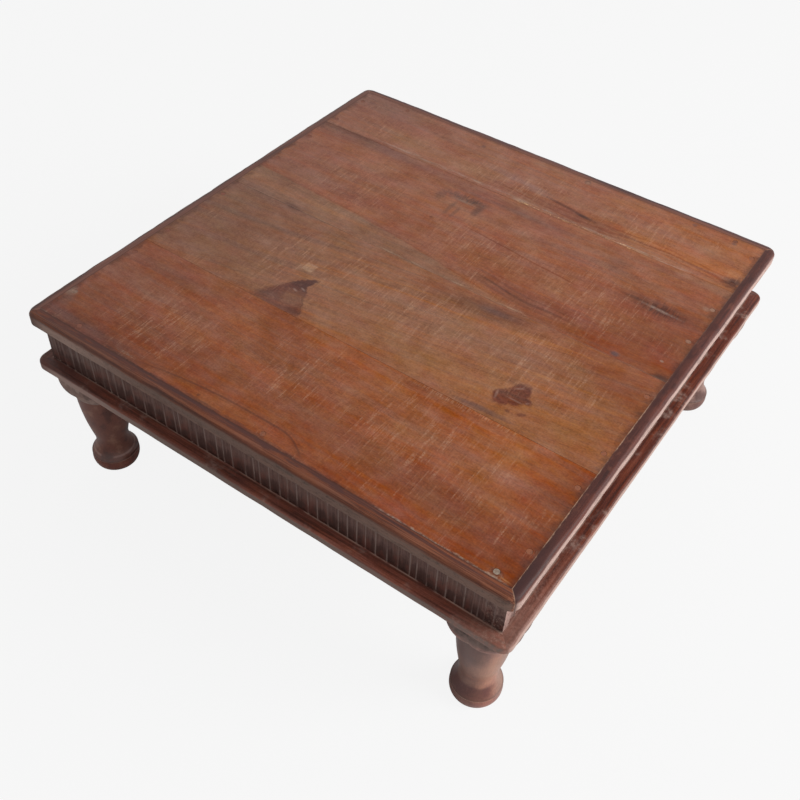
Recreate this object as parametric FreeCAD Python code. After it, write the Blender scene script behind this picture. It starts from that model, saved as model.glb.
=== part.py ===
"""A square low table: boarded top, fluted frieze, base frame and four turned legs.

Lengths are millimetres. Z points up and the floor is Z = 0. The middle of the table
is at X = Y = 0 and its front side faces -Y. The top boards run along X.
"""

import FreeCAD, Part
import math
import os

# Overall sizes
table_width = 600.0
table_depth = 606.0
table_height = 240.0

# Edge strips round the top
strip_width = 12.0
strip_height = 16.5
strip_arris_radius = 4.0
strip_foot_radius = 1.0
strip_corner_radius = 11.0

# Top boards, from the back to the front
board_gap = 0.3
board_width_shares = (0.169, 0.307, 0.260, 0.264)

# Fluted frieze between the top and the base frame
frieze_height = 53.0
frieze_thickness = 12.0
flute_pitch = 11.4
flute_depth = 1.7
flute_ridge = 0.9
frieze_corner_flat = 10.0

# Width of each flute from the left end of a rail, as a share of the mean width
flute_width_shares = (
    1.00, 1.10, 0.90, 0.85, 1.05, 1.25, 0.85, 0.85, 1.15, 1.20, 1.35, 1.25, 1.25, 1.30, 0.55, 1.30, 0.75,
    1.05, 1.35, 0.75, 1.00, 1.50, 1.00, 0.65, 1.10, 1.10, 0.90, 1.00, 1.20, 1.00, 1.10, 1.10, 0.95, 0.95,
    0.90, 1.00, 1.15, 1.10, 1.15, 0.65, 1.00, 0.90, 0.90, 0.90, 0.80, 0.80, 0.50, 0.60, 0.85,
)

# Base frame under the frieze
base_thickness = 10.5
base_projection = 2.5
base_width = 88.0
base_arris_radius = 3.0
base_foot_radius = 1.0
base_corner_radius = 12.0

# Corner posts inside the frieze
post_size = 34.0

# Lobed capitals between the base frame and the legs
capital_height = 40.0
capital_lobe_radius = 31.0
capital_lobe_offset = 10.5
capital_foot_radius = 21.0
capital_straight = 9.0
capital_roll_radius_share = 0.72
capital_roll_height_share = 0.33

# Turned legs
leg_inset_x = 40.0
leg_inset_y = 42.0
leg_top_radius = 29.0
leg_belly_radius = 27.3
leg_belly_height_share = 0.59
leg_neck_radius = 20.2
leg_neck_height = 47.3
leg_waist_radius = 19.2
leg_waist_height = 39.0
leg_shoulder_radius = 26.8
leg_shoulder_height = 17.0
foot_radius = 27.9
foot_floor_radius = 25.6
foot_groove_depth = 1.6
foot_groove_height = 2.2
tenon_radius = 10.0
tenon_in_post = 34.0
tenon_clearance = 0.2

# Battens under the boards
batten_width = 40.0
batten_height = 20.0
batten_place = 112.0

# Cut nails
nail_head_radius = 3.0
nail_head_height = 1.2
nail_head_sink = 0.2
nail_shank = 2.2
nail_clearance = 0.2
top_nail_length = 40.0
base_nail_length = 30.0
top_nail_inset = 7.0
board_end_nail_shares = ((0.14, 0.74), (0.40, 0.76), (0.18, 0.80), (0.27, 0.84))
front_nail_shares = (0.09, 0.52, 0.967)
back_nail_shares = (0.12, 0.60, 0.94)
base_nail_shares = (0.27, 0.50, 0.73)

# How far cutting shapes reach past what they cut
overrun = 5.0

# Levels and lines that follow from the sizes above
top_level = table_height
board_foot_level = top_level - strip_height
base_top_level = board_foot_level - frieze_height
base_foot_level = base_top_level - base_thickness
leg_top_level = base_foot_level - capital_height
frieze_width = table_width - 2 * strip_width
frieze_depth = table_depth - 2 * strip_width
tenon_length = capital_height + base_thickness + tenon_in_post
up = FreeCAD.Vector(0, 0, 1)

# Each side is named with the turn about Z that brings the front side to it.
sides = (("front", 0), ("right", 90), ("back", 180), ("left", 270))

# Each corner is named with the signs of its X and Y.
corners = (
    ("front_left", -1, -1),
    ("front_right", 1, -1),
    ("back_right", 1, 1),
    ("back_left", -1, 1),
)


def point(x, y, z=0):
    """Short form of a vector."""
    return FreeCAD.Vector(x, y, z)


def prism(points, foot, height):
    """Upright prism over a closed outline of (x, y) points."""
    corner_points = [point(x, y, foot) for x, y in points]
    wire = Part.makePolygon(corner_points + corner_points[:1])
    return Part.Face(wire).extrude(up * height)


def centred_box(width, depth, foot, height, x=0, y=0):
    """Upright box centred on (x, y)."""
    return Part.makeBox(width, depth, height, point(x - width / 2, y - depth / 2, foot))


def side_span(name, along_x, along_y):
    """Length of a side: the front and back run along X, the others along Y."""
    return along_x if name in ("front", "back") else along_y


def to_side(shape, name, turn):
    """Move a piece that was drawn with its outer face on y = 0 to its side of the frieze."""
    reach = side_span(name, frieze_depth, frieze_width) / 2
    shape.translate(point(0, -reach))
    shape.rotate(point(0, 0), up, turn)
    return shape


def leg_axis(sign_x, sign_y):
    """Plan place of one leg."""
    return sign_x * (table_width / 2 - leg_inset_x), sign_y * (table_depth / 2 - leg_inset_y)


def rounded_ring(projection, foot, height, width, corner_radius, arris_radius, lower_radius):
    """Ring round the table with rounded plan corners and a rounded outer edge.

    It projects past the top's outline, and its bar is as wide as given.
    """
    outer_width = table_width + 2 * projection
    outer_depth = table_depth + 2 * projection
    ring = centred_box(outer_width, outer_depth, foot, height)
    upright = [edge for edge in ring.Edges if edge.BoundBox.ZLength > height / 2]
    ring = ring.makeFillet(corner_radius, upright)
    head = [edge for edge in ring.Edges if edge.BoundBox.ZMin > foot + height / 2]
    ring = ring.makeFillet(arris_radius, head)
    below = [edge for edge in ring.Edges if edge.BoundBox.ZMax < foot + height / 4]
    ring = ring.makeFillet(lower_radius, below)
    hole = centred_box(outer_width - 2 * width, outer_depth - 2 * width, foot - overrun, height + 2 * overrun)
    return ring.cut(hole)


def mitre_wedge(name, turn, reach, foot, height):
    """Prism that takes one side of a ring, cut at 45 degrees through the table's corners."""
    half = side_span(name, table_width, table_depth) / 2
    across = side_span(name, table_depth, table_width) / 2
    outline = (
        (-half - reach, -across - reach),
        (half + reach, -across - reach),
        (half - reach, -across + reach),
        (-half + reach, -across + reach),
    )
    wedge = prism(outline, foot - overrun, height + 2 * overrun)
    wedge.rotate(point(0, 0), up, turn)
    return wedge


def board_rows():
    """Front and back edge of each board, counted from the back."""
    back = frieze_depth / 2
    rows = []
    for share in board_width_shares:
        front = back - frieze_depth * share
        rows.append((front, back))
        back = front
    return rows


def square_pin(x, y, foot, height, clearance=0):
    """Upright square pin, or with a clearance the hole for it."""
    size = nail_shank + 2 * clearance
    return centred_box(size, size, foot, height, x, y)


def top_nail_places():
    """Nails down through the boards into the four frieze rails, all on one line round the top."""
    line_x = frieze_width / 2 - top_nail_inset
    line_y = frieze_depth / 2 - top_nail_inset
    places = []
    for sign in (-1, 1):
        for (front, back), shares in zip(board_rows(), board_end_nail_shares):
            places += [(sign * line_x, front + (back - front) * share) for share in shares]
    places += [((share - 0.5) * frieze_width, -line_y) for share in front_nail_shares]
    places += [((share - 0.5) * frieze_width, line_y) for share in back_nail_shares]
    return places


def top_nail(x, y, clearance=0):
    """Nail with its head just under the board's face, or with a clearance its hole."""
    head_top = top_level - nail_head_sink
    head_foot = head_top - nail_head_height
    shank_foot = head_top - top_nail_length - clearance
    head_height = nail_head_height + (overrun if clearance else 0)
    head = Part.makeCylinder(nail_head_radius + clearance, head_height, point(x, y, head_foot))
    shank = square_pin(x, y, shank_foot, head_foot - shank_foot, clearance)
    return head.fuse(shank)


def base_nail_places():
    """Nails up through the base frame into the frieze rails."""
    places = []
    for name, turn in sides:
        span = side_span(name, frieze_width, frieze_depth)
        across = side_span(name, frieze_depth, frieze_width) / 2 - frieze_thickness / 2
        for share in base_nail_shares:
            place = point((share - 0.5) * span, -across)
            place = FreeCAD.Rotation(up, turn).multVec(place)
            places.append((place.x, place.y))
    return places


def base_nail(x, y, clearance=0):
    """Nail with its head just inside the base frame's underside, or its hole."""
    head_foot = base_foot_level + nail_head_sink
    head_reach = overrun if clearance else 0
    head = Part.makeCylinder(
        nail_head_radius + clearance, nail_head_height + head_reach, point(x, y, head_foot - head_reach)
    )
    shank_foot = head_foot + nail_head_height
    shank = square_pin(x, y, shank_foot, base_nail_length - nail_head_height + clearance, clearance)
    return head.fuse(shank)


def cut_holes(piece, holes):
    """Cut the holes that meet the piece."""
    near = [hole for hole in holes if hole.BoundBox.intersect(piece.BoundBox)]
    return piece.cut(Part.makeCompound(near)) if near else piece


def edge_strips():
    """Four mitred strips with a rounded upper edge and rounded corners in plan."""
    ring = rounded_ring(
        0,
        board_foot_level,
        strip_height,
        strip_width,
        strip_corner_radius,
        strip_arris_radius,
        strip_foot_radius,
    )
    for name, turn in sides:
        wedge = mitre_wedge(name, turn, strip_width + overrun, board_foot_level, strip_height)
        yield "edge_strip_" + name, ring.common(wedge)


def top_boards(nail_holes):
    """Four boards inside the strips, flush with them, with a fine gap at each seam."""
    names = ("top_board_back", "top_board_mid_back", "top_board_mid_front", "top_board_front")
    rows = board_rows()
    for place, name in enumerate(names):
        front, back = rows[place]
        if place > 0:
            back -= board_gap / 2
        if place < len(names) - 1:
            front += board_gap / 2
        board = centred_box(frieze_width, back - front, board_foot_level, strip_height, 0, (front + back) / 2)
        yield name, cut_holes(board, nail_holes)


def fluted_edge(span):
    """Outer edge of a rail in plan: hand-cut hollow flutes with narrow ridges between them.

    The flutes differ in width, and wide ones are cut deeper.
    """
    usable = span - 2 * frieze_corner_flat
    count = round(usable / flute_pitch)
    shares = [flute_width_shares[place % len(flute_width_shares)] for place in range(count)]
    unit = usable / sum(shares)
    edges = []
    last = point(-span / 2, 0)
    start = -usable / 2
    for share in shares:
        width = unit * share
        first = point(start + flute_ridge / 2, 0)
        end = point(start + width - flute_ridge / 2, 0)
        deepest = point(start + width / 2, flute_depth * share)
        edges.append(Part.makeLine(last, first))
        edges.append(Part.Arc(first, deepest, end).toShape())
        last = end
        start += width
    edges.append(Part.makeLine(last, point(span / 2, 0)))
    return edges


def frieze_rails(nail_holes):
    """Four rails with mitred ends and fluted outer faces."""
    for name, turn in sides:
        span = side_span(name, frieze_width, frieze_depth)
        corner_points = (
            point(span / 2, 0),
            point(span / 2 - frieze_thickness, frieze_thickness),
            point(-span / 2 + frieze_thickness, frieze_thickness),
            point(-span / 2, 0),
        )
        edges = fluted_edge(span)
        edges += [Part.makeLine(a, b) for a, b in zip(corner_points, corner_points[1:])]
        rail = Part.Face(Part.Wire(edges)).extrude(up * frieze_height)
        rail.translate(up * base_top_level)
        yield "frieze_" + name, cut_holes(to_side(rail, name, turn), nail_holes)


def corner_posts():
    """Four square posts behind the frieze corners, bored from below for the legs' tenons."""
    half_width = frieze_width / 2 - frieze_thickness - post_size / 2
    half_depth = frieze_depth / 2 - frieze_thickness - post_size / 2
    for name, sign_x, sign_y in corners:
        x, y = leg_axis(sign_x, sign_y)
        post = centred_box(
            post_size, post_size, base_top_level, frieze_height, sign_x * half_width, sign_y * half_depth
        )
        bore = Part.makeCylinder(
            tenon_radius + tenon_clearance, tenon_in_post + tenon_clearance, point(x, y, base_top_level)
        )
        yield "corner_post_" + name, post.cut(bore)


def base_frame(nail_holes):
    """Four wide mitred boards with a rounded outer edge, bored at the corners for the tenons."""
    ring = rounded_ring(
        base_projection,
        base_foot_level,
        base_thickness,
        base_projection + base_width,
        base_corner_radius,
        base_arris_radius,
        base_foot_radius,
    )
    bores = []
    for name, sign_x, sign_y in corners:
        x, y = leg_axis(sign_x, sign_y)
        foot = point(x, y, base_foot_level - overrun)
        bores.append(Part.makeCylinder(tenon_radius + tenon_clearance, base_thickness + 2 * overrun, foot))
    ring = ring.cut(Part.makeCompound(bores))
    for name, turn in sides:
        wedge = mitre_wedge(name, turn, base_width + overrun, base_foot_level, base_thickness)
        yield "base_board_" + name, cut_holes(ring.common(wedge), nail_holes)


def capital_lobe(x, y):
    """Turned lobe: an upright side that rolls in to a smaller foot."""
    head = base_foot_level
    roll = head - capital_straight
    foot = head - capital_height
    swell = capital_lobe_radius - capital_foot_radius
    middle_radius = capital_foot_radius + swell * capital_roll_radius_share
    middle = point(middle_radius, 0, foot + (roll - foot) * capital_roll_height_share)
    outline = [
        Part.makeLine(point(0, 0, foot), point(0, 0, head)),
        Part.makeLine(point(0, 0, head), point(capital_lobe_radius, 0, head)),
        Part.makeLine(point(capital_lobe_radius, 0, head), point(capital_lobe_radius, 0, roll)),
        Part.Arc(point(capital_lobe_radius, 0, roll), middle, point(capital_foot_radius, 0, foot)).toShape(),
        Part.makeLine(point(capital_foot_radius, 0, foot), point(0, 0, foot)),
    ]
    lobe = Part.Face(Part.Wire(outline)).revolve(point(0, 0), up, 360)
    lobe.translate(point(x, y))
    return lobe


def capitals():
    """Four-lobed capitals: lobes on the diagonals meet in a hollow in the middle of each side."""
    offset = capital_lobe_offset * math.cos(math.pi / 4)
    for name, sign_x, sign_y in corners:
        x, y = leg_axis(sign_x, sign_y)
        lobes = [capital_lobe(x + a * offset, y + b * offset) for a in (-1, 1) for b in (-1, 1)]
        capital = lobes[0].multiFuse(lobes[1:])
        foot = point(x, y, leg_top_level - overrun)
        bore = Part.makeCylinder(tenon_radius + tenon_clearance, capital_height + 2 * overrun, foot)
        yield "capital_" + name, capital.cut(bore)


def leg_outline():
    """Half outline of a leg: tenon, vase, hollow with the waist, flared shoulder, groove and round foot."""
    tenon_top = leg_top_level + tenon_length
    belly_height = leg_neck_height + (leg_top_level - leg_neck_height) * leg_belly_height_share
    groove_foot = leg_shoulder_height - foot_groove_height
    groove_middle = leg_shoulder_height - foot_groove_height / 2
    head = point(leg_top_radius, 0, leg_top_level)
    belly = point(leg_belly_radius, 0, belly_height)
    neck = point(leg_neck_radius, 0, leg_neck_height)
    waist = point(leg_waist_radius, 0, leg_waist_height)
    shoulder = point(leg_shoulder_radius, 0, leg_shoulder_height)
    groove = point(leg_shoulder_radius - foot_groove_depth, 0, groove_middle)
    foot_top = point(leg_shoulder_radius, 0, groove_foot)
    return [
        Part.makeLine(point(0, 0), point(0, 0, tenon_top)),
        Part.makeLine(point(0, 0, tenon_top), point(tenon_radius, 0, tenon_top)),
        Part.makeLine(point(tenon_radius, 0, tenon_top), point(tenon_radius, 0, leg_top_level)),
        Part.makeLine(point(tenon_radius, 0, leg_top_level), head),
        Part.Arc(head, belly, neck).toShape(),
        Part.Arc(neck, waist, shoulder).toShape(),
        Part.Arc(shoulder, groove, foot_top).toShape(),
        Part.Arc(foot_top, point(foot_radius, 0, groove_foot / 2), point(foot_floor_radius, 0)).toShape(),
        Part.makeLine(point(foot_floor_radius, 0), point(0, 0)),
    ]


def legs():
    """Four turned legs, each with the tenon that holds it in its post."""
    face = Part.Face(Part.Wire(leg_outline()))
    for name, sign_x, sign_y in corners:
        x, y = leg_axis(sign_x, sign_y)
        leg = face.revolve(point(0, 0), up, 360)
        leg.translate(point(x, y))
        yield "leg_" + name, leg


def battens():
    """Two battens across the boards, between the front and back rails."""
    length = frieze_depth - 2 * frieze_thickness
    foot = board_foot_level - batten_height
    for name, sign in (("left", -1), ("right", 1)):
        yield "batten_" + name, centred_box(batten_width, length, foot, batten_height, sign * batten_place)


def main():
    """Make every piece and write it to its own file."""
    top_places = top_nail_places()
    base_places = base_nail_places()
    top_holes = [top_nail(x, y, nail_clearance) for x, y in top_places]
    base_holes = [base_nail(x, y, nail_clearance) for x, y in base_places]
    pieces = {}
    pieces.update(top_boards(top_holes))
    pieces.update(edge_strips())
    pieces.update(frieze_rails(top_holes + base_holes))
    pieces.update(corner_posts())
    pieces.update(base_frame(base_holes))
    pieces.update(capitals())
    pieces.update(legs())
    pieces.update(battens())
    pieces["top_nails"] = Part.makeCompound([top_nail(x, y) for x, y in top_places])
    pieces["base_nails"] = Part.makeCompound([base_nail(x, y) for x, y in base_places])
    os.makedirs("parts", exist_ok=True)
    for name, shape in pieces.items():
        shape.exportStep("parts/" + name + ".step")
        print(name, len(shape.Solids), shape.isValid(), round(shape.Volume))


main()
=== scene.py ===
# %% [markdown]
# # A bajot low table
# A square low table of old hardwood: four boards inside dark edge strips, a fluted frieze,
# a projecting base frame, and four turned legs under lobed capitals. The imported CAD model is
# the frame of this scene. The worn pieces are made again on it as fine surfaces, and each
# wood gets a finish of its own.

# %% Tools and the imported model
import math

import bpy
import numpy as np
from mathutils import Matrix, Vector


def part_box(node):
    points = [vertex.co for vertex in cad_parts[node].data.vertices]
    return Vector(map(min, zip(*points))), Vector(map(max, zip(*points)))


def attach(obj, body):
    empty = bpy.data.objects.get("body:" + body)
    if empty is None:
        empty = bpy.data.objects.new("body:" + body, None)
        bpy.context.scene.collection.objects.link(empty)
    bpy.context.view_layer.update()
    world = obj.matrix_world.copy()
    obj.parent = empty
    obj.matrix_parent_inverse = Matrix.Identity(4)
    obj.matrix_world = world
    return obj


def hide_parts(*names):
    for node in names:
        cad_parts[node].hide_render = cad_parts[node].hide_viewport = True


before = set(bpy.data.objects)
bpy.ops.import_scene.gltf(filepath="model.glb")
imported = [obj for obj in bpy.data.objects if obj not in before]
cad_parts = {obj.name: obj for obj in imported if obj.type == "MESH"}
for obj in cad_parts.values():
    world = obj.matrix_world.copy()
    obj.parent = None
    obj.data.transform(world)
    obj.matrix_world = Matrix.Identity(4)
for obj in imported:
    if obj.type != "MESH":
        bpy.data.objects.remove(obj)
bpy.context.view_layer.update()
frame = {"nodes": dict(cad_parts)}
nodes = frame["nodes"]
MM = 0.001
print("CAD nodes:", len(nodes))

# %% [markdown]
# ## Sizes read from the CAD
# The main sizes that the pieces need are read from the boxes of the CAD nodes, in millimetres, so
# the surfaces keep to the solids that they stand for.

# %% Sizes in millimetres


def node_box(name):
    """Lowest and highest corner of a CAD node in millimetres."""
    low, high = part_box(name)
    return np.array(low) / MM, np.array(high) / MM


strip_low, strip_high = node_box("edge_strip_front")
side_high = node_box("edge_strip_right")[1]
rail_low, rail_high = node_box("frieze_front")
base_low, base_high = node_box("base_board_front")
top_half = np.array([side_high[0], -strip_low[1]])
strip_width = strip_high[1] - strip_low[1]
rail_width = rail_high[1] - rail_low[1]
frieze_half = np.array([rail_high[0], -rail_low[1]])
base_half = np.array([node_box("base_board_right")[1][0], -base_low[1]])
base_width = base_high[1] - base_low[1]
top_level, strip_foot = strip_high[2], strip_low[2]
rail_foot, base_foot = rail_low[2], base_low[2]
print("top half sizes", top_half, "levels", top_level, strip_foot, rail_foot, base_foot)

sides = {"front": 0, "right": 90, "back": 180, "left": 270}
corners = {"front_left": (-1, -1), "front_right": (1, -1), "back_right": (1, 1), "back_left": (-1, 1)}

# %% [markdown]
# ## Meshes from grids of points
# A surface is a grid of points worked out as whole arrays. The rows and columns are joined by
# four-cornered faces, and the ends are closed. The sign of the volume tells whether the faces
# point outwards.

# %% Grid helpers


def grid_faces(rows, columns):
    """Faces between neighbouring rows of points, with each row closed into a ring."""
    row = np.arange(rows - 1)[:, None]
    column = np.arange(columns)[None, :]
    beside = (column + 1) % columns
    here, beyond = row * columns, (row + 1) * columns
    faces = np.stack([here + column, here + beside, beyond + beside, beyond + column], axis=-1)
    return faces.reshape(-1, 4).tolist()


def cap_faces(rows, around):
    """Triangles from the first and last rings of a closed grid to the two points that follow it."""
    ring = np.arange(around)
    beside = (ring + 1) % around
    last, pole = (rows - 1) * around, rows * around
    faces = np.stack([beside, ring, 0 * ring + pole], axis=1).tolist()
    return faces + np.stack([ring + last, beside + last, 0 * ring + pole + 1], axis=1).tolist()


def signed_volume(points, faces):
    """Volume by the divergence rule: positive if the faces point outwards."""
    total = 0.0
    for size in {len(face) for face in faces}:
        table = np.array([face for face in faces if len(face) == size])
        for corner in range(1, size - 1):
            a, b, c = points[table[:, 0]], points[table[:, corner]], points[table[:, corner + 1]]
            total += np.einsum("ij,ij->i", a, np.cross(b, c)).sum() / 6
    return total


def add_piece(name, points, faces, stands_for, finish, crease=35):
    """Mesh object from points in millimetres, riding on the table in place of a CAD node."""
    if signed_volume(points, faces) < 0:
        faces = [face[::-1] for face in faces]
    mesh = bpy.data.meshes.new(name)
    mesh.from_pydata((points * MM).tolist(), [], faces)
    mesh.shade_smooth()
    mesh.set_sharp_from_angle(angle=math.radians(crease))
    piece = bpy.data.objects.new(name, mesh)
    bpy.context.scene.collection.objects.link(piece)
    piece.data.materials.append(finish)
    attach(piece, "root")
    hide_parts(stands_for)


drift_values = 4096


def drift(places, step, seed):
    """Smooth random line between -1 and 1: random values at even steps, joined by cosine curves."""
    values = np.random.default_rng(seed).uniform(-1, 1, drift_values)
    along = np.asarray(places, float) / step + drift_values // 2
    whole = np.floor(along).astype(int)
    part = (1 - np.cos(np.pi * (along - whole))) / 2
    return values[whole] * (1 - part) + values[whole + 1] * part


def turn_about_z(points, degrees):
    """Points turned about the table's upright middle line."""
    c, s = math.cos(math.radians(degrees)), math.sin(math.radians(degrees))
    return points @ np.array([[c, s, 0], [-s, c, 0], [0, 0, 1]])


# %% [markdown]
# ## Finishes as sums and products
# A finish is a chain of shader nodes. A small class wraps a socket, so that a mask can be
# written as an ordinary expression, and one method adds any other node with its settings and
# the values of its sockets.

# %% A socket that can be added and multiplied


class Mask:
    """A number that changes over the surface. Arithmetic on it adds Math nodes."""

    def __init__(self, nodes, socket):
        self.nodes = nodes
        self.socket = socket

    def maths(self, operation, *values):
        """A Math node on masks or numbers."""
        node = self.nodes.add("ShaderNodeMath", {"operation": operation})
        for socket, value in zip(node.inputs, values):
            self.nodes.feed(socket, value)
        return Mask(self.nodes, node.outputs[0])

    def __add__(self, other):
        return self.maths("ADD", self, other)

    __radd__ = __add__

    def __sub__(self, other):
        return self.maths("SUBTRACT", self, other)

    def __rsub__(self, other):
        return self.maths("SUBTRACT", other, self)

    def __mul__(self, other):
        return self.maths("MULTIPLY", self, other)

    __rmul__ = __mul__

    def __pow__(self, other):
        return self.maths("POWER", self, other)

    def size(self):
        return self.maths("ABSOLUTE", self)

    def lowest(self, other):
        return self.maths("MINIMUM", self, other)

    def highest(self, other):
        return self.maths("MAXIMUM", self, other)

    def wave(self):
        return self.maths("SINE", self)

    def rise(self, low, high):
        """Zero below low, one above high and a smooth slope between. With low above high it falls."""
        node = self.nodes.add("ShaderNodeMapRange", {"interpolation_type": "SMOOTHSTEP"}, Value=self)
        flip = low > high
        node.inputs["From Min"].default_value = high if flip else low
        node.inputs["From Max"].default_value = low if flip else high
        node.inputs["To Min"].default_value = 1.0 if flip else 0.0
        node.inputs["To Max"].default_value = 0.0 if flip else 1.0
        return Mask(self.nodes, node.outputs["Result"])

    def window(self, start, full, fading, end):
        """One between full and fading, zero before the start and past the end."""
        return self.rise(start, full) * self.rise(end, fading)


class Nodes:
    """An emptied node tree and the means to fill it."""

    def __init__(self, tree):
        self.tree = tree
        tree.nodes.clear()

    def add(self, kind, settings=None, **values):
        """Any node: its type, its settings, and the values or links of its sockets."""
        node = self.tree.nodes.new(kind)
        for name, value in (settings or {}).items():
            setattr(node, name, value)
        for name, value in values.items():
            self.feed(node.inputs[name.replace("_", " ")], value)
        return node

    def feed(self, socket, value):
        """Set a socket to a value, or link it."""
        if isinstance(value, Mask):
            value = value.socket
        if isinstance(value, bpy.types.NodeSocket):
            self.tree.links.new(value, socket)
        elif isinstance(value, tuple) and len(value) == 3 and socket.type == "RGBA":
            socket.default_value = (*value, 1.0)
        else:
            socket.default_value = value


# %% A finish
relief_depth = 0.0004


class Finish(Nodes):
    """A material whose coordinates are in millimetres and whose colour is laid on in layers."""

    def __init__(self, name, roughness=0.5, shine=0.14):
        self.material = bpy.data.materials.new(name)
        self.material.use_nodes = True
        super().__init__(self.material.node_tree)
        self.shader = self.add("ShaderNodeBsdfPrincipled", Roughness=roughness, Specular_IOR_Level=shine)
        self.add("ShaderNodeOutputMaterial", Surface=self.shader.outputs["BSDF"])
        coordinates = self.add("ShaderNodeTexCoord")
        scale = self.add("ShaderNodeVectorMath", {"operation": "SCALE"}, Scale=1 / MM)
        self.feed(scale.inputs[0], coordinates.outputs["Object"])
        split = self.add("ShaderNodeSeparateXYZ", Vector=scale.outputs[0])
        self.x, self.y, self.z = (Mask(self, split.outputs[axis]) for axis in "XYZ")
        self.colour = None

    def vector(self, x, y, z):
        """A vector from three masks or numbers."""
        return self.add("ShaderNodeCombineXYZ", X=x, Y=y, Z=z).outputs[0]

    def noise(self, lengths, detail=2.0, roughness=0.55, seed=0.0, at=None):
        """Cloudy noise from 0 to 1 whose clouds have the given lengths along X, Y and Z."""
        x, y, z = at or (self.x, self.y, self.z)
        place = self.vector(x * (1 / lengths[0]) + seed, y * (1 / lengths[1]), z * (1 / lengths[2]))
        node = self.add("ShaderNodeTexNoise", Vector=place, Scale=1.0, Detail=detail, Roughness=roughness)
        return Mask(self, node.outputs["Fac"])

    def sway(self, lengths, amount, seed, detail=3.0, roughness=0.6):
        """Noise that swings about zero, by half the amount each way."""
        return (self.noise(lengths, detail, roughness, seed) - 0.5) * amount

    def paint(self, below, above, share):
        """A colour over another by a mask or a share."""
        node = self.add("ShaderNodeMix", {"data_type": "RGBA"})
        sockets = {socket.identifier: socket for socket in node.inputs}
        self.feed(sockets["Factor_Float"], share)
        self.feed(sockets["A_Color"], below)
        self.feed(sockets["B_Color"], above)
        return {socket.identifier: socket for socket in node.outputs}["Result_Color"]

    def lay(self, tone, share):
        """Lay a tone over the colour so far."""
        self.colour = self.paint(self.colour, tone, share)

    def dab(self, tone, share, *oval):
        """Lay a tone in an oval of the plan."""
        self.lay(tone, self.spot(*oval) * share)

    def tone(self, value, saturation=1.0, hue=0.5):
        """The colour so far with its value, saturation and hue changed by masks."""
        settings = {"Value": value, "Saturation": saturation, "Hue": hue}
        return self.add("ShaderNodeHueSaturation", Color=self.colour, **settings).outputs[0]

    def spot(self, x, y, reach_x, reach_y, soft=0.5, turn=0.0, warp=None):
        """One inside an oval on the plan and zero outside, with a soft rim."""
        c, s = math.cos(math.radians(turn)), math.sin(math.radians(turn))
        a, b = self.x - x, self.y - y
        u, v = (a * c + b * s) * (1 / reach_x), (b * c - a * s) * (1 / reach_y)
        distance = (u * u + v * v) ** 0.5
        if warp is not None:
            distance = distance + warp
        return distance.rise(1 + soft, 1 - soft)

    def close(self, rough, height, strength):
        """Join the finished colour, roughness and height to the shader."""
        self.feed(self.shader.inputs["Base Color"], self.colour)
        self.feed(self.shader.inputs["Roughness"], rough)
        bump = self.add("ShaderNodeBump", Height=height, Strength=strength, Distance=relief_depth)
        self.feed(self.shader.inputs["Normal"], bump.outputs[0])
        return self.material


# %% [markdown]
# ## Old hardwood
# The wood is drawn in layers, as it grew and as it aged: broad tones, growth bands, fine
# fibres, pale saw marks across the board, and dust or wax in the hollows. The long direction
# of the grain is the board's own, so each layer is noise that is stretched along the board.

# %% Layers that the woods share


def grain_layers(finish, seed, slope, sway):
    """Bands, fibres and clouds of one board. The grain sways across the board and may run aslant."""
    x, y, z = finish.x, finish.y, finish.z
    finish.across = y + finish.sway((190, 60, 60), sway, seed, 2.0, 0.55) + x * slope
    finish.bands = finish.noise((420, 9, 9), 3.0, 0.6, seed + 3.1, at=(x, finish.across, z))
    finish.fibres = finish.noise((44, 0.9, 0.9), 2.0, 0.6, seed + 7.7, at=(x, finish.across, z))
    finish.clouds = finish.noise((120, 60, 60), 2.0, 0.5, seed + 1.9)


def saw_marks(finish, places, seed):
    """Fine lines across the board, in patches: pale where a saw and a scraper broke the skin.

    The first result is a comb of lines from 0 to 1, the second only its pale scratches.
    """
    x, y, z = finish.x, finish.y, finish.z
    lean = x + y * 0.02
    comb = finish.noise((1.7, 21, 21), 2.0, 0.55, seed + 5.5, at=(lean, y, z))
    bundles = finish.noise((6.0, 34, 34), 2.0, 0.5, seed + 6.5, at=(lean, y, z))
    patches = finish.noise((60, 40, 40), 2.0, 0.5, seed + 9.2).rise(0.52, 0.68) * 0.55
    breaks = finish.noise((2.2, 1.8, 1.8), 2.0, 0.6, seed + 2.2).rise(0.42, 0.58)
    for place in places:
        patches = patches.highest(finish.spot(*place, 0.8) * 0.9)
    scratches = comb.rise(0.47, 0.65) * bundles.rise(0.43, 0.60) * patches * (breaks * 0.80 + 0.20)
    return (comb - 0.5) * (patches * 0.6 + 0.4), scratches


# Tones of the top, as the wood itself would be under plain light
maroon = (0.198, 0.060, 0.030)
brick = (0.246, 0.086, 0.044)
salmon = (0.268, 0.108, 0.064)
orange = (0.278, 0.084, 0.030)
amber = (0.312, 0.116, 0.048)
tan = (0.268, 0.122, 0.068)
olive = (0.200, 0.094, 0.056)
red_brown = (0.172, 0.044, 0.020)
deep_brown = (0.062, 0.024, 0.018)
purple_gray = (0.120, 0.066, 0.058)
# Pale marks on the wood, and also a painted glint on the legs' rings
pale_scratch_and_glint = (0.470, 0.285, 0.190)
gray_filler = (0.330, 0.255, 0.205)


def top_wood(name, tones, seed, slope, sway=20.0):
    """First layers of a top board: three tones from left to right that run into each other."""
    left, middle, right = tones
    finish = Finish(name)
    grain_layers(finish, seed, slope, sway)
    wander = finish.x + finish.sway((140, 34, 34), 190, seed + 4.2)
    finish.colour = left
    finish.lay(middle, wander.rise(-250, -70))
    finish.lay(right, wander.rise(10, 250))
    return finish


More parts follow.
